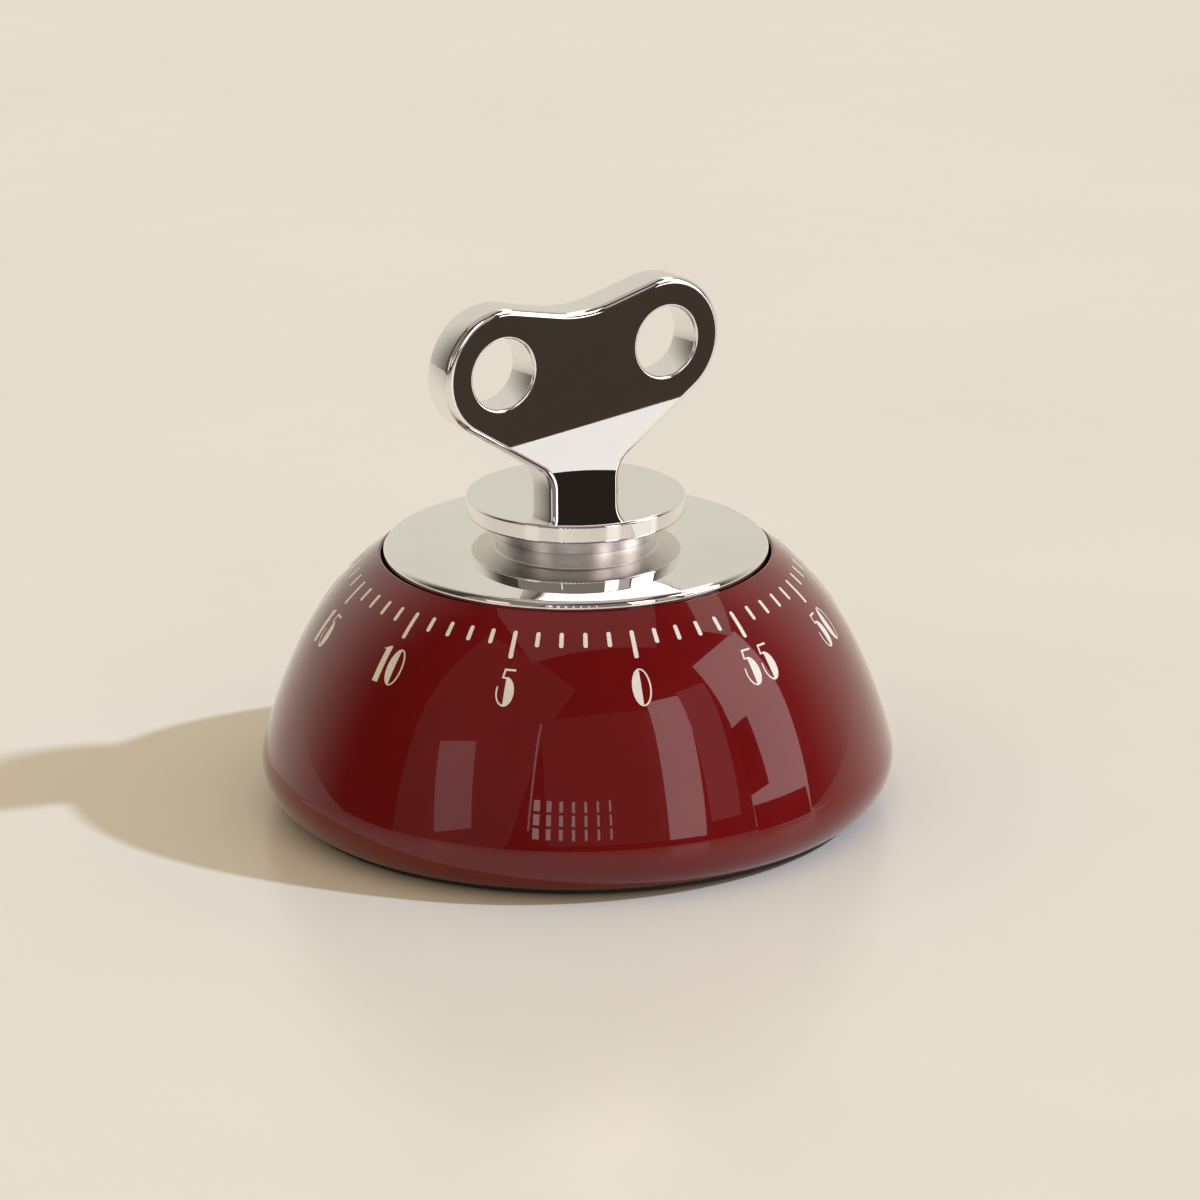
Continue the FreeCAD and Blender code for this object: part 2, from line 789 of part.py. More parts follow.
def make_key():
    """The winding key: two round lobes with eyes, a shallow valley between them and a flat stem."""
    body = new_body("key")
    sketch = new_sketch(body, "XZ_Plane")
    right = [
        ("key_stem", "collar_top"),
        ("key_stem", "key_stem_top", "key_throat_radius", 1),
        ("key_throat_out", "key_throat"),
        ("key_flank_out", "key_flank", "key_lobe_radius", -1),
        ("key_crest_out", "key_crest"),
        ("key_valley_out", "key_valley_side", "key_valley_radius", 1),
    ]
    left = [
        ("-key_valley_out", "key_valley_side"),
        ("-key_crest_out", "key_crest", "key_lobe_radius", -1),
        ("-key_flank_out", "key_flank"),
        ("-key_throat_out", "key_throat", "key_throat_radius", 1),
        ("-key_stem", "key_stem_top"),
        ("-key_stem", "collar_top"),
    ]
    draw_outline(sketch, right + left)
    for side in ("", "-"):
        draw_circle(sketch, side + "key_lobe_out", "key_lobe_height", "key_eye_radius")
    plate = body.newObject("PartDesign::Pad", "key_pad")
    plate.Profile = sketch
    plate.Midplane = True
    bind(plate, "Length", "key_thickness")
    doc.recompute()
    faces = []
    for number, face in enumerate(body.Shape.Faces, start=1):
        if abs(abs(face.normalAt(0, 0).y) - 1) < 1e-6:
            faces.append(f"Face{number}")
    bevel = body.newObject("PartDesign::Chamfer", "key_chamfer")
    bevel.Base = (plate, faces)
    bind(bevel, "Size", "key_bevel")
    doc.recompute()
    pocket(
        body,
        [("0", "0", "stud_clear")],
        "collar_top + key_bore_depth",
        "key_bore_depth",
    )
    turn_body(body, "key_turn")
    keep(body, "key")
    stud = cylinder("stud", "stud_radius", "stud_bottom", "stud_length")
    keep(stud, "key_stud")


def square_post(name, side, floor, height):
    """Make an upright square post on the axis."""
    item = doc.addObject("Part::Box", name)
    bind(item, "Length", side)
    bind(item, "Width", side)
    bind(item, "Height", height)
    half = value(side) / 2
    item.Placement.Base = FreeCAD.Vector(-half, -half, value(floor))
    return item


def make_arbor():
    """The main arbor with its squared end, the bush that the stud draws up, and the ratchet wheel."""
    shaft = [
        ("0", "arbor_bottom"),
        ("arbor_pivot", "arbor_bottom"),
        ("arbor_pivot", "arbor_shoulder"),
        ("arbor_radius", "arbor_shoulder"),
        ("arbor_radius", "arbor_square_bottom"),
        ("0", "arbor_square_bottom"),
    ]
    square = square_post("square", "arbor_square", "arbor_square_bottom", "arbor_square_length")
    keep(fuse("arbor", [turned("arbor_shaft", shaft), square]), "main_arbor")

    bush = [
        ("0", "bush_bottom"),
        ("drive_bush", "bush_bottom"),
        ("drive_bush", "drive_flange_bottom"),
        ("drive_flange", "drive_flange_bottom"),
        ("drive_flange", "drive_bush_top"),
        ("0", "drive_bush_top"),
    ]
    blank = turned("bush_blank", bush)
    socket = square_post("socket", "bush_square", "bush_bottom", "bush_square_depth")
    bore = cylinder("bush_bore_tool", "stud_clear", "bush_bottom", "drive_bush_top - bush_bottom")
    keep(cut("bush", blank, fuse("bush_tools", [socket, bore])), "drive_bush")

    wheel = saw_wheel("ratchet", "arbor_seat", value("ratchet_gauge"))
    keep(computed("ratchet", wheel, at(CENTRE, "ratchet_bottom")), "ratchet_wheel")


def make_cam():
    """The cam disc with its notch, and the pin under it that meets the stop post at each end."""
    disc = cylinder("cam_blank", "cam_radius", "cam_bottom", "cam_gauge")
    bore = cylinder("cam_bore", "arbor_seat", "cam_bottom", "cam_gauge")
    start = value("cam_radius") - value("cam_notch_depth")
    notch = bar(
        "cam_notch",
        "cam_notch_length",
        "cam_notch_width",
        "cam_gauge",
        "cam_bottom",
        CENTRE,
        value("cam_notch_angle"),
        start=start,
    )
    keep(cut("cam", disc, fuse("cam_tools", [bore, notch])), "cam_disc")
    angle = value("stop_post_angle") - value("stop_gap_angle")
    place = polar_point(value("stop_ring"), angle)
    drop = "cam_bottom - stop_pin_bottom"
    keep(cylinder("pin", "stop_radius", "stop_pin_bottom", drop, place), "stop_pin")
    place = polar_point(value("stop_ring"), value("stop_post_angle"))
    post = cylinder("post", "stop_radius", "upper_plate_top", "stop_post_height", place)
    keep(post, "stop_post")


def at(place, floor):
    """Return a placement at a point, at a height that the sheet names."""
    return FreeCAD.Placement(FreeCAD.Vector(place.x, place.y, value(floor)), FreeCAD.Rotation())


# ---- wheels and pinions ------------------------------------------------------------------------


def involute(angle):
    """Return the involute function of an angle in radians."""
    return math.tan(angle) - angle


def tooth_half_angle(radius, pitch_radius, teeth):
    """Return half the angle that a tooth takes up at a radius."""
    pressure = math.radians(value("pressure_angle"))
    base_radius = pitch_radius * math.cos(pressure)
    at_pitch = math.pi / (2 * teeth) * (1 - value("tooth_slack"))
    here = math.acos(min(1.0, base_radius / radius))
    return at_pitch + involute(pressure) - involute(here)


def gear_face(teeth, module, addendum, phase):
    """Return the face of a spur gear, with one tooth centred on the phase angle."""
    pitch_radius = module * teeth / 2
    tip = pitch_radius + module * addendum
    root = pitch_radius - module * value("dedendum")
    flank = [root + (tip - root) * step / FLANK_STEPS for step in range(FLANK_STEPS + 1)]
    points = []
    for tooth in range(teeth):
        middle = math.radians(phase + 360 * tooth / teeth)
        halves = [(r, tooth_half_angle(r, pitch_radius, teeth)) for r in flank]
        rising = [(r, middle - half) for r, half in halves]
        falling = [(r, middle + half) for r, half in reversed(halves)]
        for radius, angle in rising + falling:
            points.append(FreeCAD.Vector(radius * math.cos(angle), radius * math.sin(angle), 0))
    return Part.Face(Part.makePolygon(points + points[:1]))


def disc_solid(radius, height, floor=0.0):
    """Return a plain cylinder."""
    return Part.makeCylinder(radius, height, FreeCAD.Vector(0, 0, floor))


def spoked_wheel(teeth, module, phase, gauge, bore, hub):
    """Return a toothed wheel with four spokes, standing on Z = 0."""
    up = FreeCAD.Vector(0, 0, gauge)
    wheel = gear_face(teeth, module, value("wheel_addendum"), phase).extrude(up)
    rim = module * teeth / 2 * value("rim_share")
    window = disc_solid(rim, gauge).cut(disc_solid(hub, gauge))
    spoke = rim * value("spoke_share")
    for turn in (45, 135):
        cross = Part.makeBox(2 * rim, spoke, gauge, FreeCAD.Vector(-rim, -spoke / 2, 0))
        cross.rotate(CENTRE, FreeCAD.Vector(0, 0, 1), turn)
        window = window.cut(cross)
    return wheel.cut(window).cut(disc_solid(bore, gauge))


def saw_wheel(name, bore, gauge):
    """Return a wheel with slanting saw teeth, standing on Z = 0."""
    teeth = int(value(name + "_teeth"))
    tip = value(name + "_tip")
    root = value(name + "_root")
    pitch = 360 / teeth
    points = []
    for tooth in range(teeth):
        start = pitch * tooth
        points.append(polar_point(root, start))
        points.append(polar_point(tip, start + pitch * value("saw_tip_start")))
        points.append(polar_point(tip, start + pitch * value("saw_tip_end")))
    face = Part.Face(Part.makePolygon(points + points[:1]))
    wheel = face.extrude(FreeCAD.Vector(0, 0, gauge))
    return wheel.cut(disc_solid(value(bore), gauge))


def arbor_with_pinion(module, phase, pinion_floor):
    """Return a slim arbor between the plates, with its pivots and the leaves of its pinion."""
    gap = value("shaft_gap")
    low = value("lower_plate_top") + gap
    high = value("upper_plate") - gap
    shaft = disc_solid(value("shaft_radius"), high - low, low)
    top = value("upper_plate_top")
    pivot = disc_solid(value("pivot_radius"), top - value("lower_plate"), value("lower_plate"))
    shaft = shaft.fuse(pivot)
    if module is None:
        return shaft
    face = gear_face(int(value("pinion_teeth")), module, value("pinion_addendum"), phase)
    leaves = face.extrude(FreeCAD.Vector(0, 0, value("pinion_length")))
    leaves.translate(FreeCAD.Vector(0, 0, value(pinion_floor)))
    return shaft.fuse(leaves).removeSplitter()


def make_train():
    """The main wheel and the three arbors that speed it up to the escape wheel."""
    half_leaf = 180 / value("pinion_teeth")
    main_module = value("main_module")
    fine = value("fine_module")
    phases = {
        "second": value("second_angle"),
        "third": value("third_angle"),
        "escape": value("escape_angle"),
    }
    wheel = spoked_wheel(
        int(value("main_teeth")),
        main_module,
        phases["second"],
        value("main_wheel_gauge"),
        value("main_wheel_bore"),
        value("main_wheel_hub"),
    )
    place = at(CENTRE, "main_wheel_bottom")
    keep(computed("main_gear", wheel, place), "main_wheel")
    stages = (
        ("second", SECOND, main_module, "second_teeth", "third"),
        ("third", THIRD, fine, "third_teeth", "escape"),
        ("escape", ESCAPE, fine, None, None),
    )
    for name, centre, module, teeth, following in stages:
        phase = phases[name] + 180 + half_leaf
        arbor = arbor_with_pinion(module, phase, f"{name}_pinion_bottom")
        keep(computed(f"{name}_shaft", arbor, at(centre, "0")), f"{name}_arbor")
        if teeth is None:
            continue
        gauge = value("wheel_gauge")
        wheel = spoked_wheel(
            int(value(teeth)),
            fine,
            phases[following],
            gauge,
            value("shaft_radius"),
            value("wheel_hub"),
        )
        place = at(centre, f"{name}_wheel_bottom")
        keep(computed(f"{name}_gear", wheel, place), f"{name}_wheel")
    wheel = saw_wheel("escape", "shaft_radius", value("wheel_gauge"))
    keep(computed("escape_saw", wheel, at(ESCAPE, "escape_bottom")), "escape_wheel")


def make_anchor():
    """The anchor that rocks beside the escape wheel, with its two pins and its balance bar."""
    arbor = arbor_with_pinion(None, 0.0, "0")
    keep(computed("anchor_shaft", arbor, at(ANCHOR, "0")), "anchor_arbor")
    spread = math.degrees(math.acos(value("pallet_ring") / value("anchor_distance")))
    back = value("anchor_angle")
    places = [polar_point(value("pallet_ring"), back + side * spread, ESCAPE) for side in (-1, 1)]
    gauge = value("wheel_gauge")
    shape = disc_solid(value("pallet_hub"), gauge)
    pins = []
    for place in places:
        reach = place - ANCHOR
        width = value("pallet_arm_width")
        arm = Part.makeBox(reach.Length, width, gauge, FreeCAD.Vector(0, -width / 2, 0))
        angle = math.degrees(math.atan2(reach.y, reach.x))
        arm.rotate(CENTRE, FreeCAD.Vector(0, 0, 1), angle)
        tip = disc_solid(value("pallet_tip"), gauge)
        tip.translate(reach)
        shape = shape.fuse(arm).fuse(tip)
        hole = disc_solid(value("pallet_pin"), gauge)
        hole.translate(reach)
        shape = shape.cut(hole)
        name = f"pallet_pin_{len(pins)}"
        length = "pallet_bottom + wheel_gauge - pallet_pin_bottom"
        pins.append(cylinder(name, "pallet_pin", "pallet_pin_bottom", length, place))
    shape = shape.cut(disc_solid(value("shaft_radius"), gauge)).removeSplitter()
    keep(computed("pallets", shape, at(ANCHOR, "pallet_bottom")), "pallet_anchor")
    keep(group("pin_group", pins), "pallet_pins")

    half = value("balance_half")
    width = value("pallet_arm_width")
    beam = Part.makeBox(2 * half, width, gauge, FreeCAD.Vector(-half, -width / 2, 0))
    for side in (-1, 1):
        weight = disc_solid(value("balance_weight"), gauge)
        weight.translate(FreeCAD.Vector(side * half, 0, 0))
        beam = beam.fuse(weight)
    beam = beam.fuse(disc_solid(value("pallet_hub"), gauge))
    beam = beam.cut(disc_solid(value("shaft_radius"), gauge)).removeSplitter()
    keep(computed("balance", beam, at(ANCHOR, "balance_bottom")), "balance_bar")


# ---- mainspring, click -------------------------------------------------------------------------


def spiral_edges(start_radius, backwards):
    """Return half circles whose centres alternate, which make a spiral with a steady pitch."""
    edges = []
    step = value("spring_pitch") / 2
    centre = 0.0
    radius = start_radius
    for turn in range(int(value("spring_half_turns"))):
        up = 1 if turn % 2 == 0 else -1
        first = FreeCAD.Vector(centre + up * radius, 0, 0)
        middle = FreeCAD.Vector(centre, up * radius, 0)
        last = FreeCAD.Vector(centre - up * radius, 0, 0)
        edges.append(Part.Arc(first, middle, last).toShape())
        radius += step
        centre += up * step
    return list(reversed(edges)) if backwards else edges


def make_mainspring():
    """The coiled mainspring, and the post that its outer end hooks on."""
    inner = spiral_edges(value("spring_inner"), False)
    outer = spiral_edges(value("spring_inner") + value("spring_strip"), True)
    ends = [
        Part.LineSegment(inner[-1].Vertexes[-1].Point, outer[0].Vertexes[-1].Point).toShape(),
        Part.LineSegment(outer[-1].Vertexes[0].Point, inner[0].Vertexes[0].Point).toShape(),
    ]
    wire = Part.Wire(Part.__sortEdges__(inner + [ends[0]] + outer + [ends[1]]))
    strip = Part.Face(wire).extrude(FreeCAD.Vector(0, 0, value("spring_height")))
    keep(computed("spring_strip", strip, at(CENTRE, "spring_bottom")), "mainspring")
    hook = ends[0].CenterOfMass
    post = cylinder("hook_post", "anchor_post", "lower_plate_top", "anchor_post_height", hook)
    keep(post, "spring_anchor")


def make_click():
    """The click under the main wheel that the ratchet wheel slips past, its rivet and its spring."""
    pivot = polar_point(value("click_ring"), 0)
    angle = value("click_angle")
    nose_place = polar_point(value("click_length"), angle, pivot)
    floor = "ratchet_bottom"
    tall = "main_wheel_bottom - ratchet_bottom"
    width = "click_half_width + click_half_width"
    hub = cylinder("click_hub_disc", "click_hub", floor, tall, pivot)
    nose = cylinder("click_nose", "click_half_width", floor, tall, nose_place)
    arm = bar("click_arm", "click_length", width, tall, floor, pivot, angle)
    hole = cylinder("click_hole", "click_rivet", floor, tall, pivot)
    keep(cut("click", fuse("click_blank", [hub, arm, nose]), hole), "click_pawl")
    keep(cylinder("rivet", "click_rivet", floor, tall, pivot), "click_rivet")
    leaf = bar(
        "click_leaf",
        "click_spring_length",
        "click_spring_gauge",
        tall,
        floor,
        pivot,
        angle,
        start=value("click_spring_start"),
        shift=-value("click_spring_gap"),
    )
    keep(leaf, "click_spring")


# ---- bell, hammer and release lever ------------------------------------------------------------


def make_bell():
    """The bell, its spacer and the screw that hangs it under the lower plate."""
    bell = [
        ("stud_clear", "bell_top - bell_gauge"),
        ("bell_flat", "bell_top - bell_gauge", "bell_bend - bell_gauge", 1),
        ("bell_radius - bell_gauge", "bell_top - bell_bend"),
        ("bell_radius - bell_gauge", "bell_rim"),
        ("bell_radius", "bell_rim"),
        ("bell_radius", "bell_top - bell_bend", "bell_bend", -1),
        ("bell_flat", "bell_top"),
        ("stud_clear", "bell_top"),
    ]
    spacer = [
        ("stud_clear", "bell_top"),
        ("bell_spacer", "bell_top"),
        ("bell_spacer", "lower_plate"),
        ("stud_clear", "lower_plate"),
    ]
    screw = [
        ("0", "bell_top - bell_gauge - bell_screw_head_height"),
        ("bell_screw_head", "bell_top - bell_gauge - bell_screw_head_height"),
        ("bell_screw_head", "bell_top - bell_gauge"),
        ("stud_radius", "bell_top - bell_gauge"),
        ("stud_radius", "lower_plate_top"),
        ("0", "lower_plate_top"),
    ]
    for name, outline in (("bell", bell), ("bell_spacer", spacer), ("bell_screw", screw)):
        body = turned(name, outline)
        bind(body, "Placement.Base.x", "bell_x")
        bind(body, "Placement.Base.y", "bell_y")
        keep(body, name)


def make_hammer():
    """The hammer on its stud under the lower plate."""
    stud = [
        ("0", "hammer_stud_bottom"),
        ("hammer_stud_head", "hammer_stud_bottom"),
        ("hammer_stud_head", "hammer_arm_bottom - shaft_gap"),
        ("hammer_stud", "hammer_arm_bottom - shaft_gap"),
        ("hammer_stud", "hammer_stud_shoulder"),
        ("hammer_stud_head", "hammer_stud_shoulder"),
        ("hammer_stud_head", "lower_plate"),
        ("hammer_stud", "lower_plate"),
        ("hammer_stud", "lower_plate_top"),
        ("0", "lower_plate_top"),
    ]
    body = turned("stud_blank", stud)
    bind(body, "Placement.Base.x", "hammer_x")
    bind(body, "Placement.Base.y", "hammer_y")
    keep(body, "hammer_stud")

    angle = value("hammer_arm_angle")
    head_place = polar_point(value("hammer_reach"), angle, HAMMER)
    floor = "hammer_arm_bottom"
    gauge = "hammer_arm_gauge"
    hub = cylinder("hammer_hub_disc", "hammer_hub", floor, gauge, HAMMER)
    end = cylinder("hammer_end", "hammer_head", floor, gauge, head_place)
    hole = cylinder("hammer_hole_tool", "hammer_bore", floor, gauge, HAMMER)
    arm = bar("hammer_bar", "hammer_reach", "hammer_arm_width", gauge, floor, HAMMER, angle)
    keep(cut("hammer_link", fuse("hammer_blank", [hub, arm, end]), hole), "hammer_arm")
    drop = "hammer_arm_bottom - hammer_head_bottom"
    head = cylinder("hammer_weight", "hammer_head", "hammer_head_bottom", drop, head_place)
    keep(head, "hammer_head")


def make_release():
    """The arbor that carries the release lever over the cam and the stop arm over the hammer."""
    gap = value("shaft_gap")
    low = value("lower_plate_top") + gap
    shaft = disc_solid(value("shaft_radius"), value("upper_plate") - gap - low, low)
    floor = value("release_bottom")
    pivot = disc_solid(value("release_pivot"), value("release_top") - floor, floor)
    keep(computed("release_shaft", shaft.fuse(pivot), at(RELEASE, "0")), "release_arbor")

    angle = value("lever_angle")
    floor = "lever_bottom"
    width = "lever_half_width + lever_half_width"
    hub = cylinder("lever_hub_disc", "lever_hub", floor, "lever_gauge", RELEASE)
    hole = cylinder("lever_hole", "release_pivot", floor, "lever_gauge", RELEASE)
    arm = bar("lever_arm", "lever_length", width, "lever_gauge", floor, RELEASE, angle)
    nose_place = polar_point(value("lever_nose_ring"), angle + 90)
    nose = cylinder("lever_nose_disc", "lever_nose", floor, "lever_gauge", nose_place)
    keep(cut("lever", fuse("lever_blank", [hub, arm, nose]), hole), "release_lever")

    offset = value("leaf_offset")
    start = value("leaf_start")
    leaf = bar(
        "lever_leaf",
        "leaf_length",
        "leaf_gauge",
        "lever_gauge",
        floor,
        RELEASE,
        angle,
        start=start,
        shift=offset,
    )
    foot_place = polar_point(offset, angle + 90, polar_point(start, angle, RELEASE))
    tall = "lever_bottom + lever_gauge - upper_plate_top"
    foot = cylinder("leaf_foot", "stop_tab", "upper_plate_top", tall, foot_place)
    keep(fuse("leaf_spring", [leaf, foot]), "lever_spring")

    floor = "release_bottom"
    width = "stop_tab + stop_tab"
    angle = value("stop_arm_angle")
    hub = cylinder("stop_hub", "lever_hub", floor, "stop_arm_gauge", RELEASE)
    hole = cylinder("stop_hole", "release_pivot", floor, "stop_arm_gauge", RELEASE)
    arm = bar("stop_bar", "stop_arm_length", width, "stop_arm_gauge", floor, RELEASE, angle)
    tab_place = polar_point(value("stop_arm_length"), angle, RELEASE)
    tall = "stop_tab_drop + stop_arm_gauge"
    tab = cylinder("stop_tab_pin", "stop_tab", "release_bottom - stop_tab_drop", tall, tab_place)
    keep(cut("stop_link", fuse("stop_blank", [hub, arm, tab]), hole), "stop_arm")


def check_document():
    """Stop if any object has failed or any sub-part has no valid shape."""
    doc.recompute()
    for item in doc.Objects:
        if "Invalid" in item.State or "Error" in item.State:
            raise RuntimeError(f"{item.Name} failed: {item.State}")
    for item in NODES:
        if item.Shape.isNull() or not item.Shape.isValid():
            raise RuntimeError(f"{item.Label} has no valid shape")


def write_parts():
    """Write one STEP file for each sub-part."""
    os.makedirs("parts", exist_ok=True)
    for item in NODES:
        item.Shape.exportStep(f"parts/{item.Label}.step")
        print(f"{item.Label}: {len(item.Shape.Solids)} solid(s), {item.Shape.Volume:.1f} mm3")


make_shell()
make_base()
make_plates()
make_pillars()
make_cap_and_collar()
make_key()
make_arbor()
make_cam()
make_train()
make_anchor()
make_mainspring()
make_click()
make_bell()
make_hammer()
make_release()
check_document()
write_parts()
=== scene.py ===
"""Looks of a wind-up kitchen timer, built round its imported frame: a glossy crimson dome with a
printed minute scale, a chromed cap, collar and winding key, and a brass movement inside."""

import json
import logging
import math
from dataclasses import dataclass, field
from enum import Enum

import bmesh
import bpy
from mathutils import Matrix, Vector


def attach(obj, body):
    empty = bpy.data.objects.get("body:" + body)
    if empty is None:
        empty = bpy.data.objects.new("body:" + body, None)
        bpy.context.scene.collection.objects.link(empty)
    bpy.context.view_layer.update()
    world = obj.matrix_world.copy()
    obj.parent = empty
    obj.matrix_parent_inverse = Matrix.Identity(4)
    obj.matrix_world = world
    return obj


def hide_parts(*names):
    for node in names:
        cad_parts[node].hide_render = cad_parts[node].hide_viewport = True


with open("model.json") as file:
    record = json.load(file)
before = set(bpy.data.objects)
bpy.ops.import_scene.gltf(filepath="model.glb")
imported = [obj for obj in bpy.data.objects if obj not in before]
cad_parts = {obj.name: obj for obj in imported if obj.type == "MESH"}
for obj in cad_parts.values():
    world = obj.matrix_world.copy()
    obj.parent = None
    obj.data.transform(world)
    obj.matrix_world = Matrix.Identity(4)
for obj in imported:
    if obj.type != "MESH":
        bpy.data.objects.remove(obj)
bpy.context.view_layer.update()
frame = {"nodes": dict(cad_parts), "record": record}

MM = 0.001
LOG = logging.getLogger("kitchen_timer")

Point = tuple[float, float]
Corner = tuple[float, float, float]
Colour = tuple[float, float, float]


# ---- outlines --------------------------------------------------------------------------------


def polar(radius: float, degrees: float, centre: Point = (0.0, 0.0)) -> Point:
    """Return the point at a radius and an angle from a centre."""
    way = math.radians(degrees)
    return centre[0] + radius * math.cos(way), centre[1] + radius * math.sin(way)


def arc(centre: Point, radius: float, start: float, end: float, steps: int) -> list[Point]:
    """Sample an arc.

    Args:
        centre: The arc's centre.
        radius: Its radius.
        start: The angle of its first point, in degrees.
        end: The angle of its last point, in degrees.
        steps: The number of equal steps between them.

    Returns:
        The points, first and last included.
    """
    turns = [start + (end - start) * step / steps for step in range(steps + 1)]
    return [polar(radius, turn, centre) for turn in turns]


def rounded(corners: list[Corner], steps: int = 6) -> list[Point]:
    """Round each corner of a closed outline with its own radius.

    Args:
        corners: The corners as (x, y, radius); a radius of 0 keeps the corner sharp.
        steps: The number of steps in each rounding.

    Returns:
        The outline's points, in the same direction.
    """
    points: list[Point] = []
    for number, (x, y, radius) in enumerate(corners):
        here = Vector((x, y))
        if radius == 0:
            points.append((x, y))
            continue
        before = Vector(corners[number - 1][:2])
        after = Vector(corners[(number + 1) % len(corners)][:2])
        inward = (before - here).normalized()
        outward = (after - here).normalized()
        half = inward.angle(outward) / 2
        middle = here + (inward + outward).normalized() * (radius / math.sin(half))
        first = here + inward * (radius / math.tan(half)) - middle
        last = here + outward * (radius / math.tan(half)) - middle
        start = math.degrees(math.atan2(first.y, first.x))
        sweep = math.degrees(math.atan2(first.cross(last), first.dot(last)))
        points += arc((middle.x, middle.y), radius, start, start + sweep, steps)
    return points


# ---- meshes ----------------------------------------------------------------------------------


def mark_sharp(bm: bmesh.types.BMesh, degrees: float) -> None:
    """Mark the edges that turn by more than an angle as sharp."""
    limit = math.radians(degrees)
    for edge in bm.edges:
        edge.smooth = edge.calc_face_angle(0.0) < limit


def make_piece(bm: bmesh.types.BMesh, name: str, sharp: float = 32.0) -> bpy.types.Object:
    """Turn a closed bmesh, drawn in millimetres, into an object at the origin.

    Args:
        bm: The mesh, which is freed.
        name: The piece's name.
        sharp: The angle in degrees past which an edge shades sharp.

    Returns:
        The object, linked to the scene.
    """
    bmesh.ops.recalc_face_normals(bm, faces=bm.faces)
    for face in bm.faces:
        face.smooth = True
    mark_sharp(bm, sharp)
    bmesh.ops.scale(bm, vec=(MM, MM, MM), verts=bm.verts)
    mesh = bpy.data.meshes.new(name)
    bm.to_mesh(mesh)
    bm.free()
    piece = bpy.data.objects.new(name, mesh)
    bpy.context.scene.collection.objects.link(piece)
    return piece


def turn_outline(name: str, outline: list[Point], steps: int = 192) -> bpy.types.Object:
    """Turn an outline of (radius, height) points about the upright axis.

    Args:
        name: The piece's name.
        outline: The closed outline, or one that begins and ends on the axis.
        steps: The number of facets round the axis.

    Returns:
        The turned piece.
    """
    bm = bmesh.new()
    ring = [bm.verts.new((x, 0, z)) for x, z in outline]
    follows = ring[1:] + ring[:1]
    pairs = list(zip(ring, follows))
    if outline[0][0] == 0 and outline[-1][0] == 0:
        pairs = pairs[:-1]
    edges = [bm.edges.new(pair) for pair in pairs]
    bmesh.ops.spin(
        bm,
        geom=ring + edges,
        cent=(0, 0, 0),
        axis=(0, 0, 1),
        dvec=(0, 0, 0),
        angle=math.tau,
        steps=steps,
        use_merge=True,
    )
    bmesh.ops.remove_doubles(bm, verts=bm.verts, dist=1e-4)
    piece = make_piece(bm, name)
    weigh_normals(piece)
    return piece


def weigh_normals(piece: bpy.types.Object) -> None:
    """Let the large flat faces of a piece keep their own normals."""
    modifier = piece.modifiers.new("flat_faces", "WEIGHTED_NORMAL")
    modifier.keep_sharp = True
    modifier.weight = 100


def fill_loops(bm: bmesh.types.BMesh, loops: list[list[Point]]) -> list[bmesh.types.BMFace]:
    """Fill flat closed loops; a loop inside another is a hole.

    Args:
        bm: The mesh to draw in.
        loops: The outlines, as (x, y) points.

    Returns:
        The faces of the filled shape.
    """
    edges = []
    for loop in loops:
        ring = [bm.verts.new((x, y, 0)) for x, y in loop]
        edges += [bm.edges.new(pair) for pair in zip(ring, ring[1:] + ring[:1])]
    made = bmesh.ops.triangle_fill(bm, use_beauty=True, edges=edges)
    return [item for item in made["geom"] if isinstance(item, bmesh.types.BMFace)]


def thicken(bm: bmesh.types.BMesh, low: float, high: float) -> None:
    """Give a flat mesh a thickness, from one height to another."""
    faces = list(bm.faces)
    bmesh.ops.translate(bm, vec=(0, 0, low), verts=bm.verts)
    made = bmesh.ops.extrude_face_region(bm, geom=faces)
    raised = [item for item in made["geom"] if isinstance(item, bmesh.types.BMVert)]
    bmesh.ops.translate(bm, vec=(0, 0, high - low), verts=raised)


def slice_flat(bm: bmesh.types.BMesh, spacing: float) -> None:
    """Cut a flat mesh across at steady spacings, both ways, so that it can bend."""
    for axis in (Vector((1, 0, 0)), Vector((0, 1, 0))):
        reach = [vert.co.dot(axis) for vert in bm.verts]
        count = int((max(reach) - min(reach)) / spacing)
        for number in range(1, count + 1):
            at = min(reach) + number * spacing
            geom = list(bm.verts) + list(bm.edges) + list(bm.faces)
            bmesh.ops.bisect_plane(bm, geom=geom, dist=1e-5, plane_co=axis * at, plane_no=axis)


def join(pieces: list[bpy.types.Object], name: str) -> bpy.types.Object:
    """Join the meshes of several pieces into one object.

    Args:
        pieces: The pieces, which are removed.
        name: The joined piece's name.

    Returns:
        The joined object.
    """
    bm = bmesh.new()
    for piece in pieces:
        bm.from_mesh(piece.data)
        mesh = piece.data
        bpy.data.objects.remove(piece)
        bpy.data.meshes.remove(mesh)
    mesh = bpy.data.meshes.new(name)
    bm.to_mesh(mesh)
    bm.free()
    whole = bpy.data.objects.new(name, mesh)
    bpy.context.scene.collection.objects.link(whole)
    return whole


# ---- finishes --------------------------------------------------------------------------------


NOISE_LOW = 0.3
NOISE_HIGH = 0.7
BLACK = (0.0, 0.0, 0.0, 1.0)


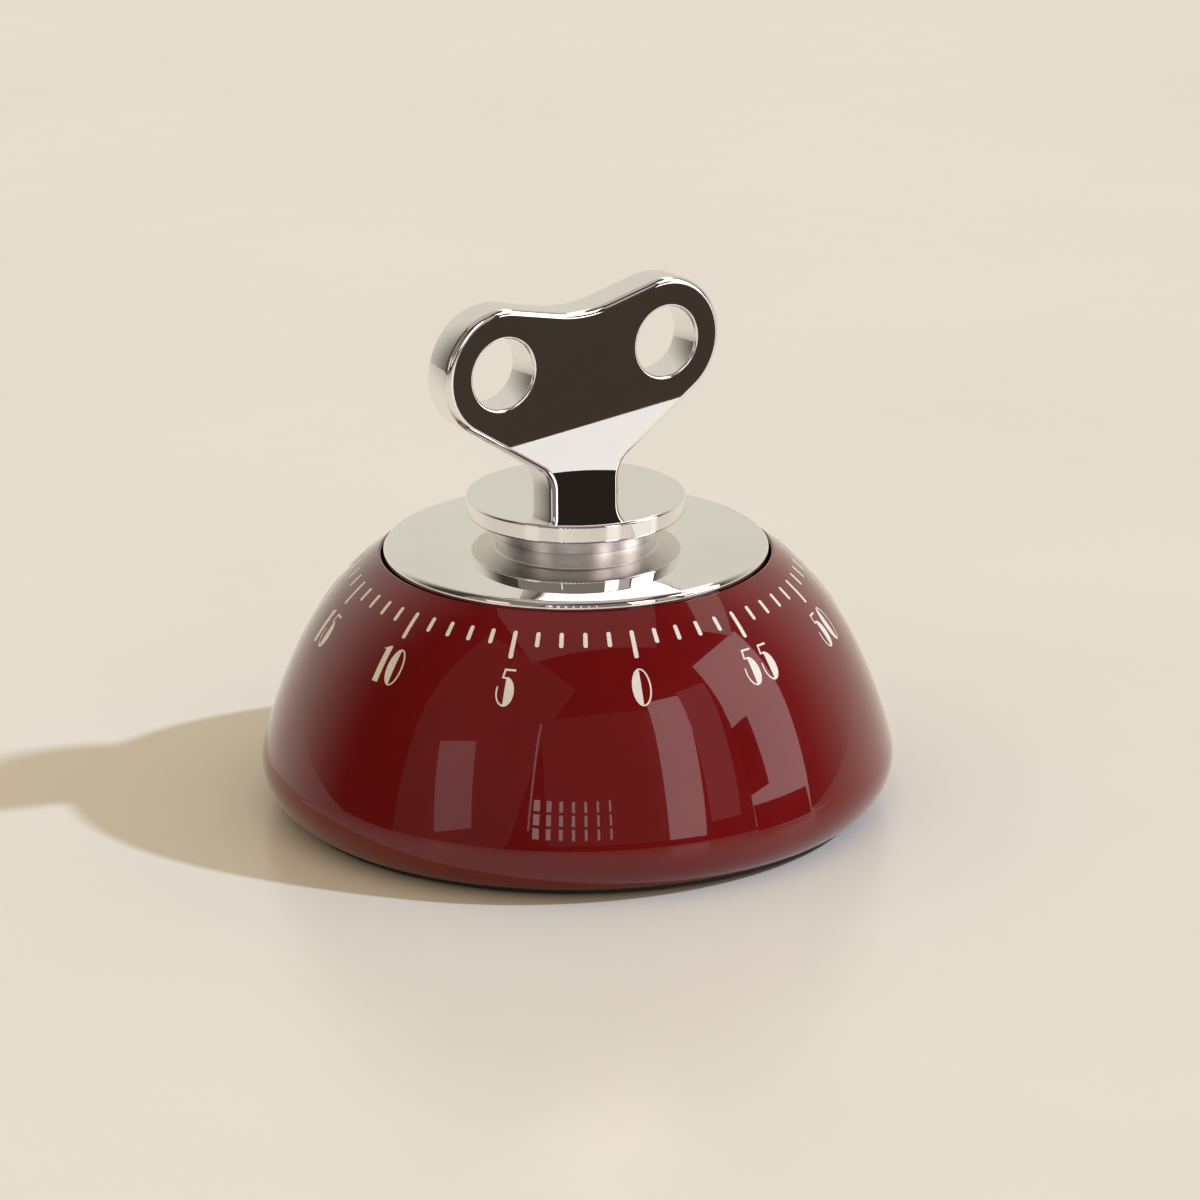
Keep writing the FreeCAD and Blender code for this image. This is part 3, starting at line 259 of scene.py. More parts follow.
class Shader:
    """A node material whose principled shader is ready to be fed."""

    def __init__(self, name: str) -> None:
        """Start a material with an empty principled shader."""
        self.material = bpy.data.materials.new(name)
        self.material.use_nodes = True
        self.nodes = self.material.node_tree.nodes
        self.links = self.material.node_tree.links
        self.surface = self.nodes["Principled BSDF"]
        self.place = self.nodes.new("ShaderNodeTexCoord").outputs["Object"]

    def set(self, **values: float | tuple[float, ...]) -> None:
        """Set sockets of the shader by name, with underscores for spaces."""
        for name, amount in values.items():
            self.surface.inputs[name.replace("_", " ")].default_value = amount

    def stretched(self, scale: tuple[float, float, float]) -> bpy.types.NodeSocket:
        """Return object coordinates stretched along each axis."""
        node = self.nodes.new("ShaderNodeMapping")
        node.inputs["Scale"].default_value = scale
        self.links.new(self.place, node.inputs["Vector"])
        return node.outputs["Vector"]

    def noise(
        self, grain: float, detail: float = 4.0, place: bpy.types.NodeSocket | None = None
    ) -> bpy.types.NodeSocket:
        """Return a noise pattern.

        Args:
            grain: The size of its features, in millimetres.
            detail: How many finer layers it has.
            place: The coordinates that it reads, or the object's own.

        Returns:
            The socket with the pattern, from 0 to 1.
        """
        node = self.nodes.new("ShaderNodeTexNoise")
        node.inputs["Scale"].default_value = 1.0 / (grain * MM)
        node.inputs["Detail"].default_value = detail
        self.links.new(place or self.place, node.inputs["Vector"])
        return node.outputs["Fac"]

    def spread(
        self, pattern: bpy.types.NodeSocket, low: float, high: float
    ) -> bpy.types.NodeSocket:
        """Return a pattern spread between two values."""
        node = self.nodes.new("ShaderNodeMapRange")
        node.inputs["From Min"].default_value = NOISE_LOW
        node.inputs["From Max"].default_value = NOISE_HIGH
        node.inputs["To Min"].default_value = low
        node.inputs["To Max"].default_value = high
        self.links.new(pattern, node.inputs["Value"])
        return node.outputs["Result"]

    def tint(self, pattern: bpy.types.NodeSocket, first: Colour, second: Colour) -> None:
        """Colour the surface between two colours by a pattern."""
        node = self.nodes.new("ShaderNodeMix")
        node.data_type = "RGBA"
        node.inputs["A"].default_value = (*first, 1.0)
        node.inputs["B"].default_value = (*second, 1.0)
        self.links.new(self.spread(pattern, 0.0, 1.0), node.inputs["Factor"])
        self.links.new(node.outputs["Result"], self.surface.inputs["Base Color"])

    def roughen(self, pattern: bpy.types.NodeSocket, low: float, high: float) -> None:
        """Vary the roughness between two values by a pattern."""
        self.links.new(self.spread(pattern, low, high), self.surface.inputs["Roughness"])

    def bump(self, pattern: bpy.types.NodeSocket, depth: float) -> None:
        """Raise the surface by a pattern, to a depth in millimetres."""
        node = self.nodes.new("ShaderNodeBump")
        node.inputs["Strength"].default_value = 1.0
        node.inputs["Distance"].default_value = depth * MM
        self.links.new(pattern, node.inputs["Height"])
        self.links.new(node.outputs["Normal"], self.surface.inputs["Normal"])


@dataclass(frozen=True)
class Lacquer:
    """Deep glossy lacquer under a clear coat, with a faint orange peel."""

    name: str = "crimson_lacquer"
    deep: Colour = (0.130, 0.0020, 0.0028)
    bright: Colour = (0.160, 0.0030, 0.0040)

    def build(self) -> bpy.types.Material:
        """Make the material."""
        shader = Shader(self.name)
        shader.set(Coat_Weight=1.0, Coat_Roughness=0.012, Coat_IOR=1.5, Specular_IOR_Level=0.04)
        shader.tint(shader.noise(14.0), self.deep, self.bright)
        shader.roughen(shader.noise(3.0), 0.16, 0.24)
        shader.bump(shader.noise(2.6, 1.0), 0.0011)
        return shader.material


@dataclass(frozen=True)
class PrintInk:
    """Pad-printed ink, very slightly uneven in cover."""

    name: str = "scale_ink"
    full: Colour = (0.84, 0.80, 0.74)
    thin: Colour = (0.72, 0.64, 0.58)

    def build(self) -> bpy.types.Material:
        """Make the material."""
        shader = Shader(self.name)
        shader.set(Coat_Weight=0.4, Coat_Roughness=0.08)
        shader.tint(shader.noise(0.25, 6.0), self.thin, self.full)
        shader.roughen(shader.noise(0.4), 0.28, 0.42)
        shader.bump(shader.noise(0.12, 3.0), 0.002)
        return shader.material


@dataclass(frozen=True)
class Metal:
    """A bare or plated metal.

    Attributes:
        name: The material's name.
        light: The brighter of its two colours.
        dark: The darker one.
        smooth: The lowest roughness.
        rough: The highest roughness.
        grain: The size of its marks in millimetres.
        drawn: How far the marks are stretched along each axis.
        depth: The depth of its marks in millimetres.
    """

    name: str
    light: Colour
    dark: Colour
    smooth: float
    rough: float
    grain: float
    drawn: tuple[float, float, float]
    depth: float

    def build(self) -> bpy.types.Material:
        """Make the material."""
        shader = Shader(self.name)
        shader.set(Metallic=1.0)
        marks = shader.noise(self.grain, 5.0, shader.stretched(self.drawn))
        shader.tint(shader.noise(self.grain * 9), self.dark, self.light)
        shader.roughen(marks, self.smooth, self.rough)
        shader.bump(marks, self.depth)
        return shader.material


@dataclass(frozen=True)
class Moulded:
    """Moulded plastic or rubber with a fine grain."""

    name: str
    body: Colour
    worn: Colour
    smooth: float
    rough: float
    grain: float
    depth: float

    def build(self) -> bpy.types.Material:
        """Make the material."""
        shader = Shader(self.name)
        shader.tint(shader.noise(self.grain * 20), self.body, self.worn)
        shader.roughen(shader.noise(self.grain * 4), self.smooth, self.rough)
        shader.bump(shader.noise(self.grain, 6.0), self.depth)
        return shader.material


@dataclass(frozen=True)
class Worktop:
    """Pale polished stone or laminate under the timer."""

    name: str = "worktop"
    pale: Colour = (0.80, 0.765, 0.705)
    warm: Colour = (0.775, 0.735, 0.670)

    def build(self) -> bpy.types.Material:
        """Make the material."""
        shader = Shader(self.name)
        shader.set(Specular_IOR_Level=0.35)
        shader.tint(shader.noise(90.0, 3.0), self.warm, self.pale)
        shader.roughen(shader.noise(6.0), 0.20, 0.27)
        return shader.material


@dataclass(frozen=True)
class Glow:
    """An evenly lit studio panel, such as a softbox or, when it is dark, a flag.

    Attributes:
        name: The material's name.
        light: The light that it gives.
        one_sided: Whether the panel is clear from its back.
    """

    name: str
    light: Colour
    one_sided: bool = False

    def build(self) -> bpy.types.Material:
        """Make the material."""
        shader = Shader(self.name)
        shader.set(Base_Color=BLACK, Roughness=1.0, Specular_IOR_Level=0.0)
        shader.set(Emission_Color=(*self.light, 1.0), Emission_Strength=1.0)
        if self.one_sided:
            geometry = shader.nodes.new("ShaderNodeNewGeometry")
            front = shader.nodes.new("ShaderNodeMath")
            front.operation = "SUBTRACT"
            front.inputs[0].default_value = 1.0
            shader.links.new(geometry.outputs["Backfacing"], front.inputs[1])
            shader.links.new(front.outputs["Value"], shader.surface.inputs["Alpha"])
        return shader.material


@dataclass(frozen=True)
class Surround:
    """The walls that the gloss mirrors: pale behind the timer, dim behind the camera.

    Attributes:
        name: The material's name.
        pale: The light of the bright side.
        dim: The light of the dim side.
        back: The compass angle of the bright side's middle.
        dusk: How far a wall faces the bright side where the pale light begins.
        dawn: How far it faces it where the light is fully pale.
    """

    name: str = "surround"
    pale: Colour = (0.70, 0.66, 0.58)
    dim: Colour = (0.055, 0.045, 0.038)
    back: float = 75.8
    dusk: float = 0.0
    dawn: float = 0.68

    def build(self) -> bpy.types.Material:
        """Make the material."""
        shader = Shader(self.name)
        shader.set(Base_Color=BLACK, Roughness=1.0, Specular_IOR_Level=0.0)
        way = shader.nodes.new("ShaderNodeVectorMath")
        way.operation = "NORMALIZE"
        shader.links.new(shader.place, way.inputs[0])
        facing = shader.nodes.new("ShaderNodeVectorMath")
        facing.operation = "DOT_PRODUCT"
        facing.inputs[1].default_value = (*polar(1.0, self.back), 0.0)
        shader.links.new(way.outputs["Vector"], facing.inputs[0])
        share = shader.nodes.new("ShaderNodeMapRange")
        share.interpolation_type = "SMOOTHSTEP"
        share.inputs["From Min"].default_value = self.dusk
        share.inputs["From Max"].default_value = self.dawn
        shader.links.new(facing.outputs["Value"], share.inputs["Value"])
        mix = shader.nodes.new("ShaderNodeMix")
        mix.data_type = "RGBA"
        mix.inputs["A"].default_value = (*self.dim, 1.0)
        mix.inputs["B"].default_value = (*self.pale, 1.0)
        shader.links.new(share.outputs["Result"], mix.inputs["Factor"])
        shader.links.new(mix.outputs["Result"], shader.surface.inputs["Emission Color"])
        shader.set(Emission_Strength=1.0)
        return shader.material


EVEN = (1.0, 1.0, 1.0)
ALONG_Z = (1.0, 1.0, 0.08)
FLAT_DRAWN = (0.06, 1.0, 1.0)


class Finish(Enum):
    """The finishes of the timer's pieces, by the record's material slot."""

    CRIMSON_GLOSS = Lacquer()
    SCALE_WHITE = PrintInk()
    CHROME_PLATE = Metal(
        "mirror_chrome", (0.93, 0.92, 0.90), (0.88, 0.87, 0.85), 0.004, 0.014, 2.0, EVEN, 0.0001
    )
    BLACK_PLASTIC = Moulded(
        "black_plastic", (0.012, 0.012, 0.013), (0.022, 0.021, 0.021), 0.38, 0.52, 0.12, 0.006
    )
    FOOT_RUBBER = Moulded(
        "foot_rubber", (0.016, 0.016, 0.016), (0.030, 0.029, 0.028), 0.62, 0.80, 0.20, 0.015
    )
    PLATE_BRASS = Metal(
        "rolled_brass", (0.80, 0.60, 0.28), (0.66, 0.46, 0.19), 0.20, 0.36, 0.35, FLAT_DRAWN, 0.0015
    )
    WHEEL_BRASS = Metal(
        "turned_brass", (0.84, 0.65, 0.32), (0.72, 0.52, 0.22), 0.14, 0.28, 0.15, EVEN, 0.0010
    )
    ARBOR_STEEL = Metal(
        "turned_steel", (0.62, 0.62, 0.63), (0.48, 0.48, 0.50), 0.14, 0.28, 0.10, ALONG_Z, 0.0010
    )
    SCREW_STEEL = Metal(
        "zinc_steel", (0.58, 0.58, 0.56), (0.42, 0.42, 0.42), 0.24, 0.40, 0.15, EVEN, 0.0020
    )
    SPRING_STEEL = Metal(
        "blued_steel", (0.16, 0.20, 0.34), (0.08, 0.10, 0.20), 0.18, 0.32, 0.20, EVEN, 0.0010
    )
    BELL_STEEL = Metal(
        "nickel_bell", (0.72, 0.70, 0.65), (0.58, 0.56, 0.52), 0.08, 0.18, 0.30, EVEN, 0.0008
    )

    @property
    def slot(self) -> str:
        """Return the record's name for this finish."""
        return self.name.lower()

    def material(self) -> bpy.types.Material:
        """Return the finish's material, which is made once."""
        made = bpy.data.materials.get(self.value.name)
        return made or self.value.build()


UNDERSIDE_CHROME = Metal(
    "satin_chrome", (0.93, 0.92, 0.90), (0.89, 0.88, 0.86), 0.30, 0.38, 0.6, EVEN, 0.0003
)


def dress(piece: bpy.types.Object, finish: Finish) -> None:
    """Give a new piece its finish."""
    piece.data.materials.clear()
    piece.data.materials.append(finish.material())


def satin_below(piece: bpy.types.Object, height: float) -> None:
    """Give a chromed piece's faces below a height the satin finish of its underside."""
    piece.data.materials.append(UNDERSIDE_CHROME.build())
    for polygon in piece.data.polygons:
        if polygon.center.z < height * MM:
            polygon.material_index = 1


# ---- the dome and its scale ------------------------------------------------------------------


@dataclass
class Dome:
    """The glossy dome: three arcs that flow into one another, from the bottom edge to the cap.

    Attributes:
        wall: The thickness of the wall in millimetres.
        corner: The centre and radius of the tight arc above the bottom edge.
        side: The centre and radius of the long, almost straight side.
        top: The centre and radius of the arc that ends under the cap.
        bottom: The height of the bottom edge.
        mouth: The radius of the opening that the cap sits in.
        mouth_height: The height of the opening's edge; not used.
        lip: The radius of the small rounding at the opening.
        foot: The radius of the wall's inner edge at the bottom.
    """

    wall: float = 2.2
    corner: tuple[Point, float] = ((34.382, 6.038), 5.788)
    side: tuple[Point, float] = ((-21.347, -7.826), 63.216)
    top: tuple[Point, float] = ((4.062, 5.104), 34.706)
    bottom: float = 0.8
    mouth: float = 24.6
    mouth_height: float = 33.0
    lip: float = 0.35
    foot: float = 35.9

    def bend(self, first: tuple[Point, float], second: tuple[Point, float]) -> float:
        """Return the angle at which two of the arcs flow into one another."""
        (x1, z1), (x2, z2) = first[0], second[0]
        if first[1] < second[1]:
            return math.degrees(math.atan2(z1 - z2, x1 - x2))
        return math.degrees(math.atan2(z2 - z1, x2 - x1))

    def angle_at_height(self, part: tuple[Point, float], height: float) -> float:
        """Return the angle at which an arc passes a height."""
        return math.degrees(math.asin((height - part[0][1]) / part[1]))

    def angle_at_radius(self, part: tuple[Point, float], radius: float) -> float:
        """Return the angle at which an arc passes a distance from the axis."""
        return math.degrees(math.acos((radius - part[0][0]) / part[1]))

    def wall_arcs(self, inset: float, low: float, high: float) -> list[Point]:
        """Return the three arcs, moved inwards, from a lowest to a highest angle."""
        knee = self.bend(self.corner, self.side)
        shoulder = self.bend(self.side, self.top)
        points = arc(self.corner[0], self.corner[1] - inset, low, knee, 14)
        points += arc(self.side[0], self.side[1] - inset, knee, shoulder, 22)[1:]
        points += arc(self.top[0], self.top[1] - inset, shoulder, high, 12)[1:]
        return points

    def outline(self) -> list[Point]:
        """Return the closed outline of the dome's wall."""
        low = self.angle_at_height(self.corner, self.bottom)
        high = self.angle_at_radius(self.top, self.mouth + self.lip)
        outer = self.wall_arcs(0.0, low, high)
        edge = arc((self.mouth + self.lip, outer[-1][1] - self.lip), self.lip, 90, 180, 5)
        high_inside = self.angle_at_radius((self.top[0], self.top[1] - self.wall), self.mouth)
        inner = self.wall_arcs(self.wall, 0.0, high_inside)
        return outer + edge + list(reversed(inner)) + [(self.foot, self.bottom)]

    def at(self, down: float) -> tuple[Point, Point]:
        """Walk down the outside from the cap.

        Args:
            down: The distance along the surface below the mouth, in millimetres.

        Returns:
            The point reached and the outward normal there, both as (radius, height).
        """
        shoulder = self.bend(self.side, self.top)
        start = self.angle_at_radius(self.top, self.mouth)
        length = math.radians(start - shoulder) * self.top[1]
        if down < length:
            part, angle = self.top, start - math.degrees(down / self.top[1])
        else:
            part, angle = self.side, shoulder - math.degrees((down - length) / self.side[1])
        return polar(part[1], angle, part[0]), polar(1.0, angle)

    def wrap(self, bm: bmesh.types.BMesh, degrees: float, down: float) -> None:
        """Bend a flat drawing onto the dome.

        Args:
            bm: The drawing: x to the right, y upwards, z outwards, in millimetres.
            degrees: The angle about the axis at which its origin comes to lie.
            down: The distance of its origin below the mouth, along the surface.
        """
        for vert in bm.verts:
            across, up, out = vert.co
            (radius, height), (normal_out, normal_up) = self.at(down - up)
            middle_radius = self.at(down)[0][0]
            way = math.radians(degrees) + across / middle_radius
            reach = radius + normal_out * out
            vert.co = (reach * math.cos(way), reach * math.sin(way), height + normal_up * out)

    def build(self) -> bpy.types.Object:
        """Turn the dome's wall."""
        piece = turn_outline("shell_dome", self.outline(), steps=256)
        dress(piece, Finish.CRIMSON_GLOSS)
        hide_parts("body_shell")
        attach(piece, "base")
        return piece


Stroke = tuple[float, float, float, float, float, float]


@dataclass(frozen=True)
class Digit:
    """A numeral of thick and hairline strokes, drawn one unit high.

    Attributes:
        width: The room that it takes up.
        loops: Its outlines; each is a list of points and of arcs, an arc being its centre, its two
            half-axes and its first and last angle.
    """

    width: float
    loops: tuple[tuple[Point | Stroke, ...], ...]

    def drawn(self, left: float, height: float) -> list[list[Point]]:
        """Return the outlines at a size, moved to the right."""
        result = []
        for loop in self.loops:
            points: list[Point] = []
            for item in loop:
                if len(item) == 2:
                    points.append(item)
                    continue
                x, y, wide, tall, start, end = item
                steps = max(3, int(abs(end - start) / 12))
                for px, py in arc((0, 0), 1.0, start, end, steps):
                    points.append((x + px * wide, y + py * tall))
            result.append([(left + x * height, y * height) for x, y in points])
        return result


ZERO_RIM = ((0.26, 0.5, 0.26, 0.5, 0, 345),)
ZERO_HOLE = ((0.25, 0.5, 0.225, 0.465, -90, 90),)
ONE = ((0.10, 0.0), (0.29, 0.0), (0.29, 1.0), (0.22, 1.0), (0.0, 0.88), (0.10, 0.88))
TWO = (
    *((0.0, 0.0), (0.50, 0.0), (0.50, 0.10), (0.10, 0.10)),
    *((0.26, 0.72, 0.24, 0.42, -70, 0), (0.26, 0.72, 0.24, 0.28, 0, 170)),
    *((0.06, 0.72), (0.22, 0.73, 0.155, 0.225, 160, 75), (0.26, 0.56)),
)
THREE = (
    *((0.02, 0.78), (0.25, 0.75, 0.22, 0.25, 150, -62), (0.25, 0.29, 0.25, 0.29, 62, -165)),
    *((0.045, 0.24), (0.23, 0.27, 0.175, 0.22, 195, 268), (0.23, 0.53), (0.14, 0.53)),
    *((0.14, 0.57), (0.23, 0.57), (0.23, 0.95), (0.21, 0.77, 0.14, 0.18, 95, 165)),
)
FOUR = (
    *((0.24, 0.0), (0.43, 0.0), (0.43, 0.22), (0.52, 0.22), (0.52, 0.27), (0.43, 0.27)),
    *((0.43, 1.0), (0.36, 1.0), (0.0, 0.27), (0.0, 0.22), (0.24, 0.22)),
)
FOUR_HOLE = ((0.24, 0.27), (0.24, 0.68), (0.055, 0.27))
FIVE = (
    *((0.12, 0.74), (0.16, 1.0), (0.48, 1.0), (0.48, 0.945), (0.205, 0.945), (0.175, 0.765)),
    *((0.26, 0.39, 0.24, 0.39, 100, -90), (0.26, 0.39, 0.25, 0.39, -90, -200)),
    *((0.26, 0.39, 0.21, 0.345, 162, 265), (0.245, 0.725)),
)

DIGITS = {
    "0": Digit(0.52, (ZERO_RIM, ZERO_HOLE)),
    "1": Digit(0.30, (ONE,)),
    "2": Digit(0.50, (TWO,)),
    "3": Digit(0.50, (THREE,)),
    "4": Digit(0.52, (FOUR, FOUR_HOLE)),
    "5": Digit(0.50, (FIVE,)),
}


@dataclass
class MinuteScale:
    """The white scale printed on the dome: sixty marks and a numeral at every fifth.

    Attributes:
        dome: The dome that it is printed on.
        zero: The angle about the axis of the zero mark.
        top: The distance of the marks' upper ends below the mouth.
        short: The length of a minute's mark.
        long: The length of a fifth minute's mark.
        stroke: The width of a mark.
        numeral_top: The distance of the numerals' upper ends below the mouth.
        numeral_height: The height of a numeral along the surface.
        gap: The space between two digits.
        film: How far the ink stands out.
        sunk: How far the ink's underside is let in.
    """

    dome: Dome
    zero: float = -90.0
    top: float = 3.4
    short: float = 2.1
    long: float = 3.85
    stroke: float = 0.52
    numeral_top: float = 8.6
    numeral_height: float = 4.85
    gap: float = 0.6
    film: float = 0.03
    sunk: float = 0.03

    def angle(self, minute: int) -> float:
        """Return a minute's angle; the numbers run clockwise seen from above."""
        return self.zero - minute * 6.0

    def mark(self, minute: int) -> bpy.types.Object:
        """Make one round-ended mark."""
        length = self.long if minute % 5 == 0 else self.short
        half = self.stroke / 2
        low = -(length - self.stroke)
        loop = arc((0, -half), half, 0, 180, 8) + arc((0, low - half), half, 180, 360, 8)
        bm = bmesh.new()
        fill_loops(bm, [loop])
        slice_flat(bm, 0.6)
        thicken(bm, -self.sunk, self.film)
        self.dome.wrap(bm, self.angle(minute), self.top)
        return make_piece(bm, f"mark_{minute}")

    def numeral(self, minute: int) -> bpy.types.Object:
        """Make one numeral, centred under its mark."""
        digits = [DIGITS[letter] for letter in str(minute)]
        height = self.numeral_height
        width = sum(digit.width for digit in digits) * height + self.gap * (len(digits) - 1)
        bm = bmesh.new()
        left = -width / 2
        for digit in digits:
            fill_loops(bm, digit.drawn(left, height))
            left += digit.width * height + self.gap
        slice_flat(bm, 0.7)
        thicken(bm, -self.sunk, self.film)
        self.dome.wrap(bm, self.angle(minute), self.numeral_top + height)
        return make_piece(bm, f"numeral_{minute}")

    def build(self) -> list[bpy.types.Object]:
        """Print the marks and the numerals."""
        marks = join([self.mark(minute) for minute in range(60)], "scale_marks")
        numerals = join([self.numeral(minute) for minute in range(0, 60, 5)], "scale_numerals")
        for piece in (marks, numerals):
            dress(piece, Finish.SCALE_WHITE)
            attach(piece, "base")
        return [marks, numerals]


# ---- chromed pieces --------------------------------------------------------------------------


@dataclass
class DialCap:
    """The shallow chromed cap in the dome's mouth, with a rounded rim and a skirt.

    Attributes:
        radius: The radius of its skirt.
        bottom: The height of the skirt's edge.
        rim: The height at which the crown begins.
        crown: The height of the crown's middle.
        rim_round: The radius of the rim's rounding.
        gauge: The thickness of its sheet.
        bore: The radius of its hole.
        under_share: The width of the underside as a share of the crown's.
        under_drop: How far the skirt's inner wall ends below the underside.
    """

    radius: float = 24.35
    bottom: float = 32.2
    rim: float = 33.9
    crown: float = 35.9
    rim_round: float = 0.8
    gauge: float = 1.2
    bore: float = 1.25
    under_share: float = 0.98
    under_drop: float = 0.3

    def outline(self) -> list[Point]:
        """Return the closed outline of the cap's sheet."""
        flat = self.radius - self.rim_round
        rise = self.crown - self.rim
        bow = (flat * flat + rise * rise) / (2 * rise)
        centre = (0.0, self.crown - bow)
        steep = 90 - math.degrees(math.asin(flat / bow))
        crown = arc(centre, bow, steep, 90 - math.degrees(self.bore / bow), 28)
        under = [(x * self.under_share, z - self.gauge) for x, z in reversed(crown)]
        rim = arc((flat, self.rim - self.rim_round), self.rim_round, 0, steep, 8)
        inner = self.radius - self.gauge
        edge = [
            (inner, under[-1][1] - self.under_drop),
            (inner, self.bottom),
            (self.radius, self.bottom),
        ]
        return rim + crown[1:] + under + edge

    def build(self) -> bpy.types.Object:
        """Turn the cap."""
        piece = turn_outline("chrome_cap", self.outline(), steps=224)
        dress(piece, Finish.CHROME_PLATE)
        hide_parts("dial_cap")
        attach(piece, "winder")
        return piece


@dataclass
class Collar:
    """The chromed disc under the key, on a step whose underside follows the cap's crown.

    Attributes:
        radius: The radius of the disc.
        top: The height of its top.
        disc_bottom: The height of the disc's underside.
        step: The radius of the step.
        bottom: The height of the step's underside on the axis.
        crown_bow: The radius of the crown that the underside follows.
        bore: The radius of the hole.
        edge: The radius of the disc's rounded edges.
        step_round: The radius where the step meets the disc.
        satin_margin: How far the satin finish reaches above the disc's underside.
    """

    radius: float = 13.88
    top: float = 40.3
    disc_bottom: float = 37.9
    step: float = 10.4
    bottom: float = 35.92
    crown_bow: float = 139.65
    bore: float = 1.25
    edge: float = 0.35
    step_round: float = 0.3
    satin_margin: float = 0.05

    def build(self) -> bpy.types.Object:
        """Turn the collar."""
        angles = [
            90 - math.degrees(math.asin(reach / self.crown_bow)) for reach in (self.bore, self.step)
        ]
        centre = (0.0, self.bottom - self.crown_bow)
        under = [(x, z, 0.0) for x, z in arc(centre, self.crown_bow, *angles, 8)]
        rest = [
            (self.step, self.disc_bottom, self.step_round),
            (self.radius, self.disc_bottom, self.edge),
            (self.radius, self.top, self.edge),
            (self.bore, self.top, 0.0),
        ]
        piece = turn_outline("chrome_collar", rounded(under + rest), steps=192)
        dress(piece, Finish.CHROME_PLATE)
        satin_below(piece, self.disc_bottom + self.satin_margin)
        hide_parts("collar_disc")
        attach(piece, "winder")
        return piece


@dataclass
class WindingKey:
    """The flat winding key: two round lobes with eyes, a shallow valley and a waisted stem.

    Attributes:
        turned: The angle of its plane about the upright axis.
        thickness: Its thickness.
        lobe: The centre of the right lobe in the key's own plane.
        lobe_radius: The radius of a lobe.
        eye: The radius of an eye.
        valley_slope: The slope of the upper edges, in degrees.
        valley_round: The radius at the bottom of the valley.
        flank_slope: The slope of the lower edges, in degrees.
        throat_round: The radius where the lower edges meet the stem.
        stem: Half the stem's width.
        bottom: The height of the stem's foot.
        bevel: The size of the rounded bevel along the outline.
        eye_bevel: The size of the bevel round the eyes.
        longest_run: The longest straight run of the outline that is kept whole.
    """

    turned: float = 20.3
    thickness: float = 5.0
    lobe: Point = (12.35, 58.55)
    lobe_radius: float = 8.35
    eye: float = 4.5
    valley_slope: float = 13.0
    valley_round: float = 16.35
    flank_slope: float = 33.4
    throat_round: float = 3.35
    stem: float = 5.2
    bottom: float = 40.3
    bevel: float = 0.8
    eye_bevel: float = 0.35
    longest_run: float = 1.2

    def outline(self) -> list[Point]:
        """Return the key's outline, from the right of the stem round to its left."""
        upper = polar(self.lobe_radius, 90 + self.valley_slope, self.lobe)
        lower = polar(self.lobe_radius, self.flank_slope - 90, self.lobe)
        rise = math.tan(math.radians(self.valley_slope))
        drop = math.tan(math.radians(self.flank_slope))
        valley = upper[1] - upper[0] * rise
        throat = lower[1] - (lower[0] - self.stem) * drop
        middle = arc_fillet((0.0, valley), self.valley_slope, self.valley_round)
        right = rounded(
            [
                (self.stem, self.bottom, 0.0),
                (self.stem, throat, self.throat_round),
                (lower[0], lower[1], 0.0),
            ],
            10,
        )[:-1]
        right += arc(self.lobe, self.lobe_radius, self.flank_slope - 90, 90 + self.valley_slope, 40)
        left = [(-x, z) for x, z in reversed(right)]
        return fine_runs(right + middle + left, self.longest_run)

    def build(self) -> bpy.types.Object:
        """Cut the key out of its sheet, round its edges and turn it into place."""
        eyes = [
            arc((side * self.lobe[0], self.lobe[1]), self.eye, 0, 354, 59) for side in (-1, 1)
        ]
        bm = bmesh.new()
        fill_loops(bm, [self.outline(), *eyes])
        thicken(bm, -self.thickness / 2, self.thickness / 2)
        bmesh.ops.recalc_face_normals(bm, faces=bm.faces)
        rims = [edge for edge in bm.edges if edge.calc_face_angle(0.0) > math.radians(80)]
        foot = [edge for edge in rims if max(vert.co.y for vert in edge.verts) < self.bottom + 0.01]
        rims = [edge for edge in rims if edge not in foot and edge_is_level(edge)]
        inner = [edge for edge in rims if self.near_eye(edge)]
        outer = [edge for edge in rims if edge not in inner]
        for edges, size in ((inner, self.eye_bevel), (outer, self.bevel)):
            bmesh.ops.bevel(
                bm,
                geom=edges,
                offset=size,
                offset_type="OFFSET",
                affect="EDGES",
                segments=5,
                profile=0.5,
                material=-1,
            )
        upright = Matrix.Rotation(math.pi / 2, 3, "X")
        bmesh.ops.rotate(bm, cent=(0, 0, 0), matrix=upright, verts=bm.verts)
        spin = Matrix.Rotation(math.radians(self.turned), 3, "Z")
        bmesh.ops.rotate(bm, cent=(0, 0, 0), matrix=spin, verts=bm.verts)
        piece = make_piece(bm, "winding_key")
        self.flatten_faces(piece)
        dress(piece, Finish.CHROME_PLATE)
        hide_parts("key")
        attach(piece, "winder")
        return piece

    def near_eye(self, edge: bmesh.types.BMEdge) -> bool:
        """Return whether an edge of the flat key runs round one of its eyes."""
        x, y, _ = edge.verts[0].co
        return math.hypot(abs(x) - self.lobe[0], y - self.lobe[1]) < self.eye + 0.01

    def flatten_faces(self, piece: bpy.types.Object) -> None:
        """Shade the two broad faces flat, so that they mirror cleanly."""
        way = math.radians(self.turned - 90)
        front = Vector((math.cos(way), math.sin(way), 0))
        for polygon in piece.data.polygons:
            if abs(abs(polygon.normal.dot(front)) - 1) < 1e-4:
                polygon.use_smooth = False


def edge_is_level(edge: bmesh.types.BMEdge) -> bool:
    """Return whether an edge of a flat thickened shape lies along one of its broad faces."""
    first, second = edge.verts
    return abs(first.co.z - second.co.z) < 1e-6


